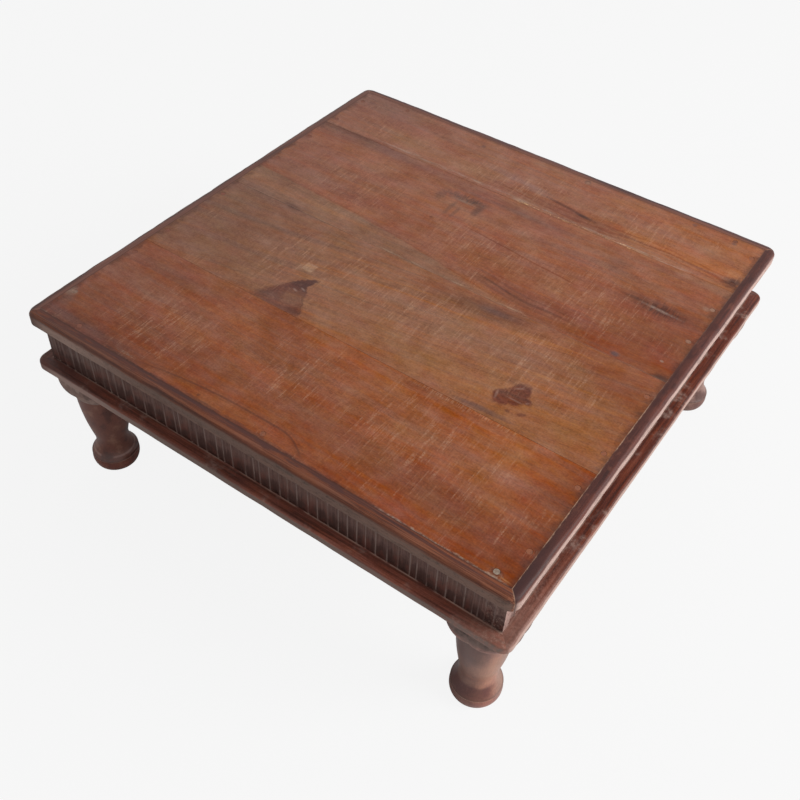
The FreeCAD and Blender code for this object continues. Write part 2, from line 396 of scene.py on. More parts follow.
def age_board(finish, seed, marks):
    """Last layers of a top board: mottling, fibres, specks and saw marks, then roughness and relief."""
    bands, fibres, clouds = finish.bands, finish.fibres, finish.clouds
    mottle = finish.noise((30, 18, 18), 3.0, 0.62, seed + 12.0)
    flecks = finish.noise((6.0, 3.4, 3.4), 2.0, 0.6, seed + 14.0)
    specks = finish.noise((2.1, 1.7, 1.7), 2.0, 0.6, seed + 15.0)
    comb, scratches = saw_marks(finish, marks, seed)
    value = 0.95 + (bands - 0.5) * 0.44 + (fibres - 0.5) * 0.36 + (clouds - 0.5) * 0.26
    value = value + (mottle - 0.5) * 0.50 + (flecks - 0.5) * 0.44 + (specks - 0.5) * 0.72 + comb * 0.40
    hue = 0.5 + finish.sway((46, 30, 30), 0.030, seed + 17.0) + (flecks - 0.5) * 0.012
    finish.colour = finish.tone(value, 1.04 + (bands - mottle) * 0.35, hue)
    finish.lay(pale_scratch_and_glint, scratches * 0.44)
    return finish.close(0.50 + scratches * 0.12 - fibres * 0.10, fibres * 0.4 + comb * 0.6, 0.25)


def seam_line(finish, level, tone, share, width=1.0, seed=4.4, span=None):
    """A ragged line of one tone along the seam of two boards, over the whole seam or a span of X."""
    near = (finish.y - level).size()
    ragged = finish.noise((11, 3, 3), 3.0, 0.65, seed)
    mask = (near + (ragged - 0.5) * 5.0 * width).rise(1.9 * width, 0.4 * width)
    if span is not None:
        start, end = span
        mask = mask * finish.x.window(start - 12, start + 12, end - 12, end + 12)
    finish.lay(tone, mask * share)


def end_shade(finish, seed):
    """Grime that has gathered where the boards' ends meet the side strips."""
    edge = finish.x.size() + finish.sway((14, 16, 16), 30, seed)
    finish.lay(deep_brown, edge.rise(280, 291) * 0.58)
    rough = finish.x + finish.sway((5, 9, 9), 16, seed + 2.0, 3.0, 0.65)
    finish.lay(deep_brown, rough.rise(287, 291) * 0.50)


# %% [markdown]
# ## The four top boards
# Each board has marks of its own: a worn golden band and a curl of dark grain in the back
# board, a cracked knot and a slit knot in the next, a three-cornered knot and a round one in
# the third, and an arch of dark grain in the front one. Each mark is an oval or a curve with
# a soft rim, bent by noise so that it doesn't look drawn.

# %% Where the boards meet
board_edges = [node_box("top_board_" + name) for name in ("back", "mid_back", "mid_front", "front")]
back_seam = board_edges[0][0][1]
middle_seam = board_edges[1][0][1]
front_seam = board_edges[2][0][1]
print("seams at", back_seam, middle_seam, front_seam)

# %% Back board


def back_board():
    """Tan sapwood at the left, a curl of dark grain, and a worn streak along the seam."""
    tones = ((0.250, 0.106, 0.070), (0.270, 0.112, 0.069), (0.282, 0.107, 0.054))
    f = top_wood("wood_back", tones, 11.0, 0.02)
    warp = f.sway((60, 16, 16), 30, 2.0)
    # Tan sapwood at the left, a gray veil above it, brown wood right of the middle
    band = (f.y + warp * 0.7 - 219).size().rise(22, 6) * f.x.window(-262, -200, -60, 30)
    f.lay(tan, band * 0.65)
    shade = f.x.rise(-150, -250) * (f.y + warp).rise(236, 262)
    f.lay(purple_gray, shade * 0.30)
    dull = f.spot(75, 212, 95, 15, 0.6, 0, f.sway((30, 8, 8), 0.8, 3.0, 2.0, 0.6))
    f.lay(maroon, dull * 0.45)
    glow = (f.y + warp * 0.5 - 218 - (f.x - 200) * 0.02).size().rise(16, 4) * f.x.rise(100, 165)
    f.lay((0.350, 0.143, 0.062), glow * 0.42)
    veil = (f.y + warp * 0.3 - 232 + f.x * 0.12).size().rise(9, 2) * f.x.window(-85, -40, 15, 50)
    f.lay((0.230, 0.130, 0.105), veil * 0.55)
    # Curl of dark grain, thick at its right end, and thin lines that go on from it
    curl = (f.y + warp * 0.12 - 219.5 + (f.x - 66) * 0.17).size()
    f.lay(deep_brown, curl.rise(4.2, 0.4) * f.spot(68, 219, 34, 12, 0.5) * 0.62)
    f.dab(deep_brown, 0.75, 88, 215, 9, 2.6, 0.6, -4)
    for lift, force in ((0, 0.55), (7, 0.35), (-6, 0.30)):
        wave = f.y + warp * 0.45 - 209 - lift - ((f.x - 130) * 0.028).wave() * 4.5
        f.lay(red_brown, wave.size().rise(2.6, 0.3) * f.x.rise(-80, 20) * force)
    # Worn pale streak and chips of orange filler along the seam, a dark shadow at its left end
    streak = (f.y + warp * 0.10 - back_seam - 5 + f.x * 0.012).size().rise(4.6, 0.8)
    rag = f.noise((20, 3, 3), 3.0, 0.65, 6.0).rise(0.40, 0.60)
    f.lay(gray_filler, streak * rag * f.x.window(-250, -170, 200, 262) * 0.42)
    chips = f.noise((5.5, 2.4, 2.4), 2.0, 0.6, 9.0).rise(0.55, 0.61)
    chip_line = (f.y - back_seam - 1.6).size().rise(2.6, 1.2) * f.x.window(0, 12, 158, 172)
    f.lay((0.640, 0.380, 0.210), chip_line * chips * 0.70)
    seam_line(f, back_seam, deep_brown, 0.36, 1.7, 4.4, (-300, -205))
    seam_line(f, back_seam, olive, 0.40, 1.0, 4.9, (-205, 120))
    for x, y, reach in ((57, 285, 4), (202, 285, 3), (254, 279, 3.0), (-90, 273, 3)):
        f.dab(purple_gray, 0.6, x, y, reach, reach, 0.6)
    smear = f.sway((7, 7, 7), 1.6, 15.0, 3.0, 0.65)
    f.dab(deep_brown, 0.90, 281, 209, 11, 8, 0.7, 30, smear)
    f.lay(deep_brown, (f.y + warp * 0.06).rise(286, 291) * 0.35)
    end_shade(f, 8.8)
    marks = ((-215, 225, 40, 20), (-20, 228, 70, 22), (150, 240, 50, 30))
    return age_board(f, 11.0, marks)


# %% Board behind the middle


def middle_lens(f):
    """Dark lens on the seam of the two middle boards, with a dull line to its left."""
    f.dab(purple_gray, 0.26, -235, 14, 50, 8.0, 0.9)
    f.dab(deep_brown, 0.60, -199, 15, 11, 3.6, 0.9, -6)


def mid_back_board():
    """Pale sapwood under a wave, a knot cracked into a crown, and a slit knot."""
    tones = ((0.240, 0.102, 0.068), (0.260, 0.101, 0.060), (0.250, 0.090, 0.048))
    f = top_wood("wood_mid_back", tones, 23.0, -0.02)
    warp = f.sway((60, 16, 16), 26, 12.0)
    f.dab(salmon, 0.5, -120, 138, 130, 26, 0.6)
    f.lay(brick, (f.y + warp).rise(110, 70) * f.x.rise(-160, 0) * 0.5)
    shade = (f.y + warp * 0.3).rise(166, 184) * f.x.rise(-100, -190)
    f.lay(purple_gray, shade * 0.32)
    haze = (f.y + warp * 0.5 - 178 + f.x * 0.03).size().rise(13, 4) * f.x.window(-225, -190, 10, 60)
    f.lay((0.165, 0.082, 0.070), haze * 0.36)
    veil = f.spot(52, 174, 48, 10, 0.8, 0, f.sway((24, 6, 6), 1.2, 3.3, 2.0, 0.6))
    f.lay(purple_gray, veil * 0.35)
    f.lay(tan, (f.y + warp * 0.2 + (f.x - 120) * 0.085).rise(190, 196) * 0.7)
    f.dab(red_brown, 0.52, 270, 58, 62, 76, 0.8)
    f.dab(red_brown, 0.42, 190, 30, 130, 26, 0.8)
    # Pale sapwood below a long wave that falls from left to right
    edge = 46 + (f.x + 100) * -0.105 + ((f.x + 200) * 0.014).wave() * 5 - (f.x + 100).rise(-160, -30) * 3
    lower = edge - f.y + warp * 0.22
    sap = lower.rise(-2, 4) * f.x.rise(110, 40)
    f.lay((0.246, 0.124, 0.076), sap * 0.80)
    f.lay(olive, sap * f.bands.rise(0.50, 0.36) * 0.34)
    f.lay(tan, sap * f.bands.rise(0.52, 0.66) * 0.40)
    f.dab(amber, 0.45, 62, 24, 40, 6, 0.7, -8)
    f.lay(red_brown, lower.size().rise(2.2, 0.2) * f.x.rise(110, 60) * 0.30)
    # Dark curved grain towards the right
    for lift, force in ((0, 0.80), (8, 0.50), (-7, 0.34), (14, 0.25)):
        arc = 42 + lift - (f.x - 60) * 0.145 * f.x.rise(140, 60) - f.x.rise(60, 130) * 7
        line = (f.y + warp * 0.10 - arc).size().rise(3.0, 0.3) * f.x.window(24, 58, 130, 200)
        f.lay(deep_brown, line * force * 0.6)
    for middle, level, reach in ((75, 101, 34), (20, 107, 40), (120, 97, 26)):
        fine = (f.y + warp * 0.1 - level + (f.x - middle) * 0.11).size().rise(1.7, 0.2)
        f.lay(red_brown, fine * f.spot(middle, level, reach, 7) * 0.7)
    # Knot that has cracked into a crown of short upright checks over an arch
    checks = f.noise((2.2, 26, 26), 2.0, 0.6, 31.0).rise(0.47, 0.58)
    rag = f.sway((8, 8, 8), 1.0, 5.0, 3.0, 0.65)
    crown_tone = (0.082, 0.050, 0.042)
    crown = f.spot(-43, 159, 29, 8, 0.45, warp=rag) * (f.y + checks * 9 + rag * 4).rise(173, 163)
    f.lay(crown_tone, crown * (0.50 + checks * 0.42))
    for share, *oval in (
        (0.60, -20, 147, 5.0, 13),
        (0.45, -74, 147, 6.0, 9),
        (0.42, -50, 131, 2.6, 17),
        (0.40, -40, 126, 2.4, 13),
        (0.35, -31, 160, 6.0, 5),
    ):
        f.dab(crown_tone, share, *oval, 0.6, 0, rag * 0.8)
    f.dab((0.275, 0.175, 0.135), 0.55, -42, 152, 12, 1.8, 0.9, 0, rag * 0.9)
    # Slit knot with a gray heart in a dark halo
    f.dab(red_brown, 0.46, 236, 114, 48, 19, 0.9, -2, rag * 0.8)
    halo = f.spot(233, 114, 36, 7.0, 0.9, -2, f.sway((14, 5, 5), 1.5, 7.0, 3.0, 0.65))
    f.lay(deep_brown, halo * (0.62 + checks * 0.22))
    f.lay(deep_brown, f.spot(235, 119, 16, 12, 0.8, 0, rag) * checks * 0.38)
    f.dab(deep_brown, 0.55, 205, 116, 12, 2.2, 0.8)
    f.lay(deep_brown, f.spot(240, 107, 20, 7, 0.8, 0, rag) * checks * 0.36)
    slit = f.spot(236, 113, 20, 1.8, 0.8, -3, rag * 0.9)
    f.lay((0.275, 0.192, 0.156), slit * (0.34 + checks * 0.36))
    for x, y, reach, tone, share in (
        (227, 20, 4.4, (0.105, 0.062, 0.060), 0.85),
        (281, 14, 9.5, deep_brown, 0.90),
        (271, 40, 2.0, gray_filler, 0.50),
        (275, 147, 4.0, gray_filler, 0.24),
        (280, 86, 2.6, gray_filler, 0.28),
        (-57, 101, 2.2, deep_brown, 0.5),
        (163, 158, 14, purple_gray, 0.25),
    ):
        f.dab(tone, share, x, y, reach, reach * 0.8, 0.6, 0, rag * 0.6)
    seam_line(f, back_seam, deep_brown, 0.36, 1.9, 4.4, (-300, -205))
    seam_line(f, back_seam - 4, deep_brown, 0.30, 2.4, 4.7, (-300, -200))
    middle_lens(f)
    seam_line(f, middle_seam, gray_filler, 0.14, 0.7, 3.4)
    dashes = f.noise((24, 6, 6), 2.0, 0.6, 14.0).rise(0.46, 0.62)
    seam_line(f, middle_seam + 2, (0.340, 0.225, 0.150), dashes * 0.44, 1.1, 3.7, (-70, 150))
    end_shade(f, 8.3)
    marks = ((-170, 100, 60, 50), (20, 90, 60, 40), (170, 80, 60, 50), (40, 28, 12, 26))
    return age_board(f, 23.0, marks)


# %% Board before the middle


def mid_front_board():
    """Streaks that rise to the right, a three-cornered knot and a round one."""
    tones = ((0.204, 0.096, 0.062), (0.254, 0.114, 0.066), (0.252, 0.106, 0.057))
    f = top_wood("wood_mid_front", tones, 37.0, -0.15, 14.0)
    warp = f.sway((60, 16, 16), 26, 22.0)
    f.lay(brick, (f.y + warp).rise(-30, 0) * f.x.rise(-120, 20) * 0.45)
    # Streaks that rise to the right: golden ones and dull ones
    streaks = f.noise((260, 5, 5), 3.0, 0.6, 41.0, at=(f.x, f.across, f.z))
    low = (f.y + warp * 0.6 - f.x * 0.14).rise(-64, -104)
    f.lay((0.290, 0.116, 0.051), low * f.x.rise(-110, 30) * 0.62)
    f.dab((0.305, 0.142, 0.086), 0.45, 5, -50, 62, 20, 0.8)
    f.lay((0.320, 0.130, 0.055), streaks.rise(0.53, 0.66) * f.x.rise(-200, 0) * 0.55)
    f.lay(olive, streaks.rise(0.50, 0.36) * f.x.rise(120, -40) * 0.55)
    f.lay(red_brown, streaks.rise(0.42, 0.30) * f.x.rise(-20, 160) * 0.45)
    f.dab(red_brown, 0.50, 280, -14, 58, 52, 0.8)
    f.lay(brick, f.x.rise(205, 285) * (f.y + warp).rise(-20, -60) * 0.35)
    blend = (f.y + warp * 0.6 - front_seam).rise(20, 2) * f.x.rise(240, 120)
    f.lay((0.262, 0.098, 0.048), blend * 0.50)
    # Dark lens on the seam and a dark blot right of the middle
    middle_lens(f)
    blot = f.spot(86, -3, 46, 11, 0.9, 8, f.sway((22, 5, 5), 1.8, 17.0, 3.0, 0.65))
    f.lay(deep_brown, blot * 0.50)
    f.dab(purple_gray, 0.60, 98, 0, 20, 4.5, 0.8, 5)
    # Three-cornered knot: from its tip the left side bows out, the right side goes in and then out
    rag = f.noise((7, 7, 7), 3.0, 0.65, 9.0) - 0.5
    tip_x, tip_y, knot_height = -85, -74, 61
    drop = tip_y - f.y
    left_edge = tip_x - (drop.highest(0) * (1 / knot_height)) ** 0.65 * 49
    right_edge = (drop - 18).highest(0) * 0.535 + (18 - drop).highest(0) * 0.30 - 90
    from_left = f.x + rag * 16 - left_edge
    from_right = right_edge - f.x - rag * 12
    inside = from_left.lowest(from_right)
    knot = inside.rise(-4.0, 5.5) * drop.rise(-3, 3)
    f.lay((0.146, 0.052, 0.034), knot * 0.74)
    f.lay((0.240, 0.100, 0.060), knot * rag.rise(-0.02, 0.10) * 0.50)
    f.lay(olive, f.spot(-95, -117, 9, 13, 0.8, 30, rag * 1.2) * knot * 0.55)
    flame = inside.rise(-2.0, 2.0) * drop.rise(0, 4) * (drop + rag * 14).rise(36, 20)
    f.lay((0.066, 0.028, 0.026), flame * 0.80)
    f.lay((0.105, 0.034, 0.027), f.spot(-113, -110, 8, 14, 0.9, -40, rag * 1.6) * knot * 0.66)
    f.lay(purple_gray, f.spot(-116, -129, 14, 7, 0.9, 0, rag * 1.4) * knot * 0.42)
    f.lay(deep_brown, f.spot(-80, -131, 15, 5, 0.9, 4, rag) * knot * 0.50)
    rim = (from_right - 0.5).size().rise(2.6, 0.4) * drop.rise(24, 34) * drop.rise(64, 58)
    f.lay(deep_brown, rim * 0.42)
    for x, y in ((-98, -103), (-92, -97)):
        f.dab((0.380, 0.270, 0.230), 0.40, x, y, 3.0, 1.1, 0.8, -20, rag * 1.4)
    # Round knot: two dark red lobes side by side, pale flecks in them and small spots round them
    knot_warp = rag * 0.7
    lobes = f.spot(177, -90, 10.5, 13.5, 0.20, -12, knot_warp)
    lobes = lobes.highest(f.spot(166, -104, 10, 11, 0.20, 20, knot_warp))
    lobes = lobes.highest(f.spot(188, -96, 7, 4, 0.40, -20, knot_warp))
    lobes = lobes.highest(f.spot(179, -101, 9, 7, 0.40, 25, knot_warp))
    f.lay((0.100, 0.028, 0.018), lobes * 0.92)
    core = f.noise((5, 5, 5), 2.0, 0.6, 19.0).rise(0.44, 0.58)
    f.lay((0.190, 0.062, 0.036), lobes * core * 0.50)
    for *oval, turn in (
        (174.5, -84.5, 4.6, 1.1, 38),
        (178.0, -101.5, 8.0, 1.1, 0),
        (159.5, -105.0, 1.2, 5.0, 12),
        (190.8, -98.0, 2.0, 1.2, 50),
    ):
        f.dab((0.300, 0.190, 0.155), 0.36, *oval, 0.7, turn, rag * 1.2)
    for share, *oval, turn in (
        (0.70, 194, -114.5, 4.8, 2.3, 30),
        (0.70, 179.5, -118, 2.3, 1.9, 0),
        (0.30, 163, -75, 5, 7, 0),
    ):
        f.dab((0.120, 0.044, 0.028), share, *oval, 0.6, turn, rag)
    patch = ((f.x + 110).size() * (1 / 7)).highest((f.y + 63).size() * (1 / 6.5)) + rag * 0.5
    f.lay(pale_scratch_and_glint, patch.rise(1.2, 0.8) * 0.42)
    f.dab(purple_gray, 0.70, 155, -131, 25, 3.0, 0.8, 4, rag)
    seam_line(f, middle_seam, gray_filler, 0.14, 0.7, 3.4)
    seam_line(f, middle_seam, deep_brown, 0.34, 0.8, 5.4, (-300, -120))
    seam_line(f, front_seam, tan, 0.35, 0.6, 6.4)
    end_shade(f, 7.8)
    marks = (
        (-135, -60, 42, 46),
        (25, -48, 85, 40),
        (165, -40, 55, 48),
        (-70, -40, 30, 36),
        (215, -56, 34, 34),
    )
    return age_board(f, 37.0, marks)


# %% Front board


def front_board():
    """Orange wood with an arch of dark grain, and grime along the strip in front."""
    tones = ((0.226, 0.084, 0.050), (0.266, 0.094, 0.047), (0.282, 0.100, 0.048))
    f = top_wood("wood_front", tones, 53.0, 0.01)
    warp = f.sway((60, 16, 16), 26, 32.0)
    f.lay(orange, (f.y + warp).rise(-200, -150) * f.x.rise(-160, 60) * 0.45)
    f.lay(maroon, f.clouds.rise(0.52, 0.34) * 0.40)
    low = (f.y + warp * 0.8).rise(-200, -262)
    f.lay((0.200, 0.058, 0.027), low * (0.60 + f.x.rise(-40, 120) * 0.16))
    f.lay(red_brown, (f.x + warp * 0.5).rise(228, 288) * 0.66)
    # Arch of dark grain: half parabolas, a long flat one to the left and a steep one to the right
    left_run = (f.x + 10).lowest(0)
    right_run = (f.x - 20).highest(0)
    arch = -270 - left_run * left_run * 0.00077 - right_run * right_run * 0.0107
    for lift, force in ((0, 0.55), (-3, 0.24), (4, 0.16)):
        line = (f.y + warp * 0.06 - arch - lift).size().rise(2.2, 0.3) * f.x.window(-190, -110, 52, 62)
        f.lay(deep_brown, line * force)
    under = (arch - f.y).rise(-1, 4) * f.x.window(-150, -80, 36, 56)
    f.lay((0.262, 0.086, 0.040), under * 0.30)
    crumbs = f.noise((5, 2.4, 2.4), 2.0, 0.6, 67.0).rise(0.42, 0.60)
    tail = (f.y + 284 + warp * 0.12).size().rise(2.4, 0.6) * f.x.window(-186, -174, -162, -148)
    f.lay(gray_filler, tail * crumbs * 0.42)
    # Dull wood along the strip in front, darkest to the left
    dull = (f.y + warp * 0.5).rise(-264, -287) * f.x.rise(-60, -220)
    f.lay((0.120, 0.047, 0.040), dull * 0.52)
    soil = f.noise((26, 5, 5), 3.0, 0.62, 68.0)
    soiled = (f.y + (soil - 0.5) * 14).rise(-286, -291) * f.x.rise(200, 120)
    f.lay((0.070, 0.030, 0.026), soiled * 0.62)
    f.dab(deep_brown, 0.55, -71, -283, 2.0, 1.6, 0.6)
    veil = f.spot(-245, -281, 60, 5, 0.8, 0, f.sway((18, 4, 4), 1.4, 3.9))
    f.lay(purple_gray, veil * 0.60)
    f.dab(gray_filler, 0.60, -288, -250, 9, 6, 0.7, -20, (f.fibres - 0.5) * 1.4)
    f.dab(purple_gray, 0.50, -280, -263, 8, 10, 0.7, 20)
    chalk = f.noise((2.6, 2.6, 2.6), 3.0, 0.65, 71.0)
    ring = f.spot(272, -287, 9, 5.0, 0.7, -20) * chalk.rise(0.48, 0.66)
    f.lay(gray_filler, ring * 0.36)
    debris_tone = (0.410, 0.320, 0.255)
    for x, y, reach, share in ((270.5, -290.0, 3.0, 0.50), (264.5, -289.8, 2.2, 0.42)):
        f.dab(debris_tone, share, x, y, reach, 1.4, 0.7, -14, (chalk - 0.5) * 1.4)
    f.dab((0.440, 0.230, 0.130), 0.45, 279, -287.3, 7.0, 0.7, 0.7, -5)
    f.dab(deep_brown, 0.60, 269, -285, 5.0, 4.4, 0.4, 0, (chalk - 0.5) * 1.5)
    # Pale ticks where the saw marks stop at the seam, filler along the strip in front
    ticks = f.noise((1.3, 16, 16), 1.0, 0.5, 63.0).rise(0.52, 0.62)
    tick_line = (f.y - front_seam + 3).size().rise(4.5, 1.5) * f.x.window(70, 110, 190, 215)
    f.lay(pale_scratch_and_glint, tick_line * ticks * 0.32)
    seam_line(f, front_seam, brick, 0.30, 0.6, 6.4)
    seam_line(f, -frieze_half[1], deep_brown, 0.85, 0.8, 7.4)
    seam_line(f, 0.8 - frieze_half[1], gray_filler, 0.46 * crumbs + 0.10, 0.9, 8.4, (150, 280))
    seam_line(f, 1.0 - frieze_half[1], gray_filler, 0.36, 0.8, 8.6, (-294, -284))
    end_shade(f, 6.9)
    marks = (
        (-162, -235, 56, 48),
        (-10, -205, 36, 50),
        (95, -205, 30, 66),
        (150, -205, 30, 66),
        (203, -215, 22, 60),
        (252, -240, 14, 34),
    )
    return age_board(f, 53.0, marks)


top_finishes = {
    "back": back_board(),
    "mid_back": mid_back_board(),
    "mid_front": mid_front_board(),
    "front": front_board(),
}
for name, material in top_finishes.items():
    board = nodes["top_board_" + name]
    board.data.materials.clear()
    board.data.materials.append(material)
print("top finishes:", len(top_finishes))

# %% [markdown]
# ## The darker woods
# Strips, frieze, base frame, capitals and legs are one dark wood that has aged in different
# ways: the strips are rubbed, the flutes hold dirt between pale ridges, and the ledge of the base
# frame holds dust. One function lays the grain, and each finish adds its own wear. The upright
# faces of the strips and the base frame, and the right frieze, also get painted light: pale on the
# lit right side, gray as a painted reflection elsewhere. The front right leg gets painted shade on its left.

# %% Colours of the darker woods
# Painted sheen of the upright faces: a pale lit tone for the right side and a gray shaded tone for the others
lit_face_sheen = (0.460, 0.312, 0.268)
shaded_face = (0.180, 0.122, 0.099)
flute_dark = (0.042, 0.017, 0.013)
flute_brown = (0.128, 0.073, 0.062)
ridge_pale = (0.215, 0.150, 0.130)
dust_pale = (0.320, 0.235, 0.195)


def side_places(f, side):
    """Place along a side, and distance outwards from the middle of the table towards it."""
    along = f.x if side in ("front", "back") else f.y
    outward = {"front": f.y * -1, "back": f.y, "right": f.x, "left": f.x * -1}[side]
    return along, outward


def side_reach(side, halves):
    """Half the length of a side and its distance from the middle, from half sizes along X and Y."""
    return (halves[0], halves[1]) if side in ("front", "back") else (halves[1], halves[0])


def corner_wear_and_light(f, far, near):
    """One at the front right corner of the frieze, the most knocked of the four, and zero beyond far: for
    wear, and for painted light on the right frieze.
    """
    reach = (f.x - frieze_half[0]).size().highest((f.y + frieze_half[1]).size())
    return reach.rise(far, near)


def streaked_wood(f, along, outward, tones, seed, length=130.0):
    """Dark wood with long narrow streaks: dark lines, plain wood and lighter lines."""
    dark, middle, light = tones
    streaks = f.noise((length, 3.4, 3.4), 3.0, 0.62, seed, at=(along, outward, f.z))
    lines = f.noise((length * 0.4, 0.9, 0.9), 2.0, 0.6, seed + 3.0, at=(along, outward, f.z))
    blots = f.noise((26, 9, 9), 3.0, 0.62, seed + 5.0, at=(along, outward, f.z))
    f.colour = f.paint(dark, middle, streaks.rise(0.34, 0.58))
    f.lay(light, streaks.rise(0.54, 0.70) * 0.55)
    grit = f.noise((1.6, 1.6, 1.6), 2.0, 0.6, seed + 7.0)
    value = 0.96 + (lines - 0.5) * 0.74 + (blots - 0.5) * 0.74 + (grit - 0.5) * 0.70
    f.colour = f.tone(value, 1.0 + (blots - 0.5) * 0.3, 0.5 + (blots - 0.5) * 0.012)
    return streaks, lines, blots


# %% Edge strips


def strip_finish(side, tones, seam_tone, seed):
    """Streaked wood with a painted sheen on its upright face, darker towards its seam with the boards."""
    f = Finish("strip_" + side, shine=0.16)
    along, outward = side_places(f, side)
    streaks, lines, blots = streaked_wood(f, along, outward, tones, seed)
    depth = side_reach(side, top_half)[1] - outward
    if side == "front":
        f.lay((0.272, 0.098, 0.052), f.x.rise(20, 240) * lines.rise(0.46, 0.62) * 0.50)
        gray = f.x.rise(-60, -260) * streaks.rise(0.56, 0.44)
        f.lay((0.095, 0.048, 0.040), gray * 0.5)
        rubbed = (depth + (blots - 0.5) * 5 - 3.8).size().rise(2.6, 0.6) * lines.rise(0.36, 0.56)
        f.lay((0.264, 0.106, 0.060), rubbed * 0.40)
        # Grime in the inner half of the strip, along its seam with the front board
        soil = f.noise((30, 5, 5), 3.0, 0.62, seed + 10.0)
        grime = (depth + (streaks - 0.5) * 8 + (soil - 0.5) * 16).rise(6.4, 9.6) * f.x.rise(190, 110)
        f.lay(seam_tone, grime * (0.30 + soil.rise(0.38, 0.56) * 0.46))
        narrow = (depth - 7.8 + (streaks - 0.5) * 5).size().rise(1.8, 0.5) * f.x.rise(110, 190)
        f.lay(seam_tone, narrow * 0.62)
    else:
        # Darker towards the seam
        f.lay(seam_tone, (depth + (streaks - 0.5) * 12).rise(5.0, 9.5) * 0.70)
    if side == "right":
        stains = f.noise((9, 20, 9), 3.0, 0.62, seed + 11.0)
        f.lay((0.165, 0.058, 0.038), stains.rise(0.56, 0.70) * depth.rise(1.0, 3.0) * 0.42)
        f.lay((0.038, 0.014, 0.013), stains.rise(0.46, 0.32) * 0.55)
        corner_dark = f.y.rise(-190, -275) * depth.rise(1.0, 4.0) * (0.55 + blots * 0.40)
        f.lay((0.040, 0.018, 0.018), corner_dark)
    if side in ("left", "back"):
        f.lay((0.058, 0.030, 0.028), (depth + (blots - 0.5) * 3).rise(5.0, 1.6) * 0.62)
    # Painted sheen on the upright face: pale on the lit right side, gray as a painted reflection elsewhere,
    # with a ragged border to the arris except at the front left corner
    border = f.z + (blots - 0.5) * 5 + (streaks - 0.5) * 5
    face = depth.rise(3.4, 0.9) * border.rise(top_level - 2.0, top_level - 6.5)
    if side == "front":
        face = face * (1 - f.x.rise(-266, -292) * 0.86)
        f.lay((0.070, 0.036, 0.030), f.x.rise(-262, -292) * depth.rise(4.5, 1.5) * 0.55)
    # Painted light: pale on the lit right face, gray on the shaded faces, and paler to the left on the front
    face_tone = lit_face_sheen if side == "right" else shaded_face
    if side == "front":
        face_tone = f.paint(shaded_face, (0.375, 0.262, 0.216), f.x.rise(-110, -250))
    f.lay(face_tone, face * (0.80 if side == "right" else 0.66) * (0.70 + blots * 0.6))
    rubs = f.noise((2.2, 2.2, 2.2), 3.0, 0.65, seed + 8.0)
    f.lay(f.tone(0.55), face * rubs.rise(0.46, 0.30) * 0.8)
    stain_and_shade = f.noise((11, 11, 4.5), 3.0, 0.62, seed + 9.0)
    f.lay(f.tone(0.60), face * stain_and_shade.rise(0.50, 0.34) * 0.7)
    # Filler that has broken out along the seam with the boards, and a thin line at each mitre
    seam = (depth - strip_width).size()
    ragged = f.noise((7, 7, 7), 3.0, 0.6, seed + 4.0)
    f.lay(deep_brown, seam.rise(1.4, 0.2) * 0.8)
    if side == "right":
        patches = f.noise((34, 34, 34), 2.0, 0.6, seed + 6.0).rise(0.32, 0.50)
        chips = (seam + ragged * 3.0).rise(2.6, 1.4) * patches
        f.lay(pale_scratch_and_glint, chips * (f.y.rise(40, -60) * 0.62 + 0.12))
    mitre = (f.x.size() - f.y.size() - (top_half[0] - top_half[1])).size()
    f.lay(pale_scratch_and_glint, mitre.rise(1.0, 0.2) * ragged.rise(0.36, 0.58) * 0.5)
    return f.close(0.42 + blots * 0.16 + face * 0.12, lines * 0.6 + rubs * 0.4, 0.40)


strip_tones = {
    "front": ((0.070, 0.024, 0.017), (0.140, 0.044, 0.024), (0.196, 0.066, 0.034)),
    "right": ((0.054, 0.019, 0.016), (0.092, 0.028, 0.021), (0.128, 0.044, 0.031)),
    "back": ((0.056, 0.028, 0.028), (0.100, 0.048, 0.045), (0.148, 0.076, 0.068)),
    "left": ((0.082, 0.040, 0.034), (0.150, 0.071, 0.058), (0.210, 0.108, 0.086)),
}
seam_tones = {
    "front": (0.062, 0.026, 0.024),
    "right": (0.058, 0.020, 0.016),
    "back": (0.196, 0.074, 0.044),
    "left": (0.150, 0.062, 0.044),
}
strip_finishes = {
    side: strip_finish(side, strip_tones[side], seam_tones[side], 61.0 + turn / 15)
    for side, turn in sides.items()
}
print("strip finishes:", len(strip_finishes))

# %% Frieze: dark in the flutes and at the foot, pale on the ridges
corner_flat = 10.0


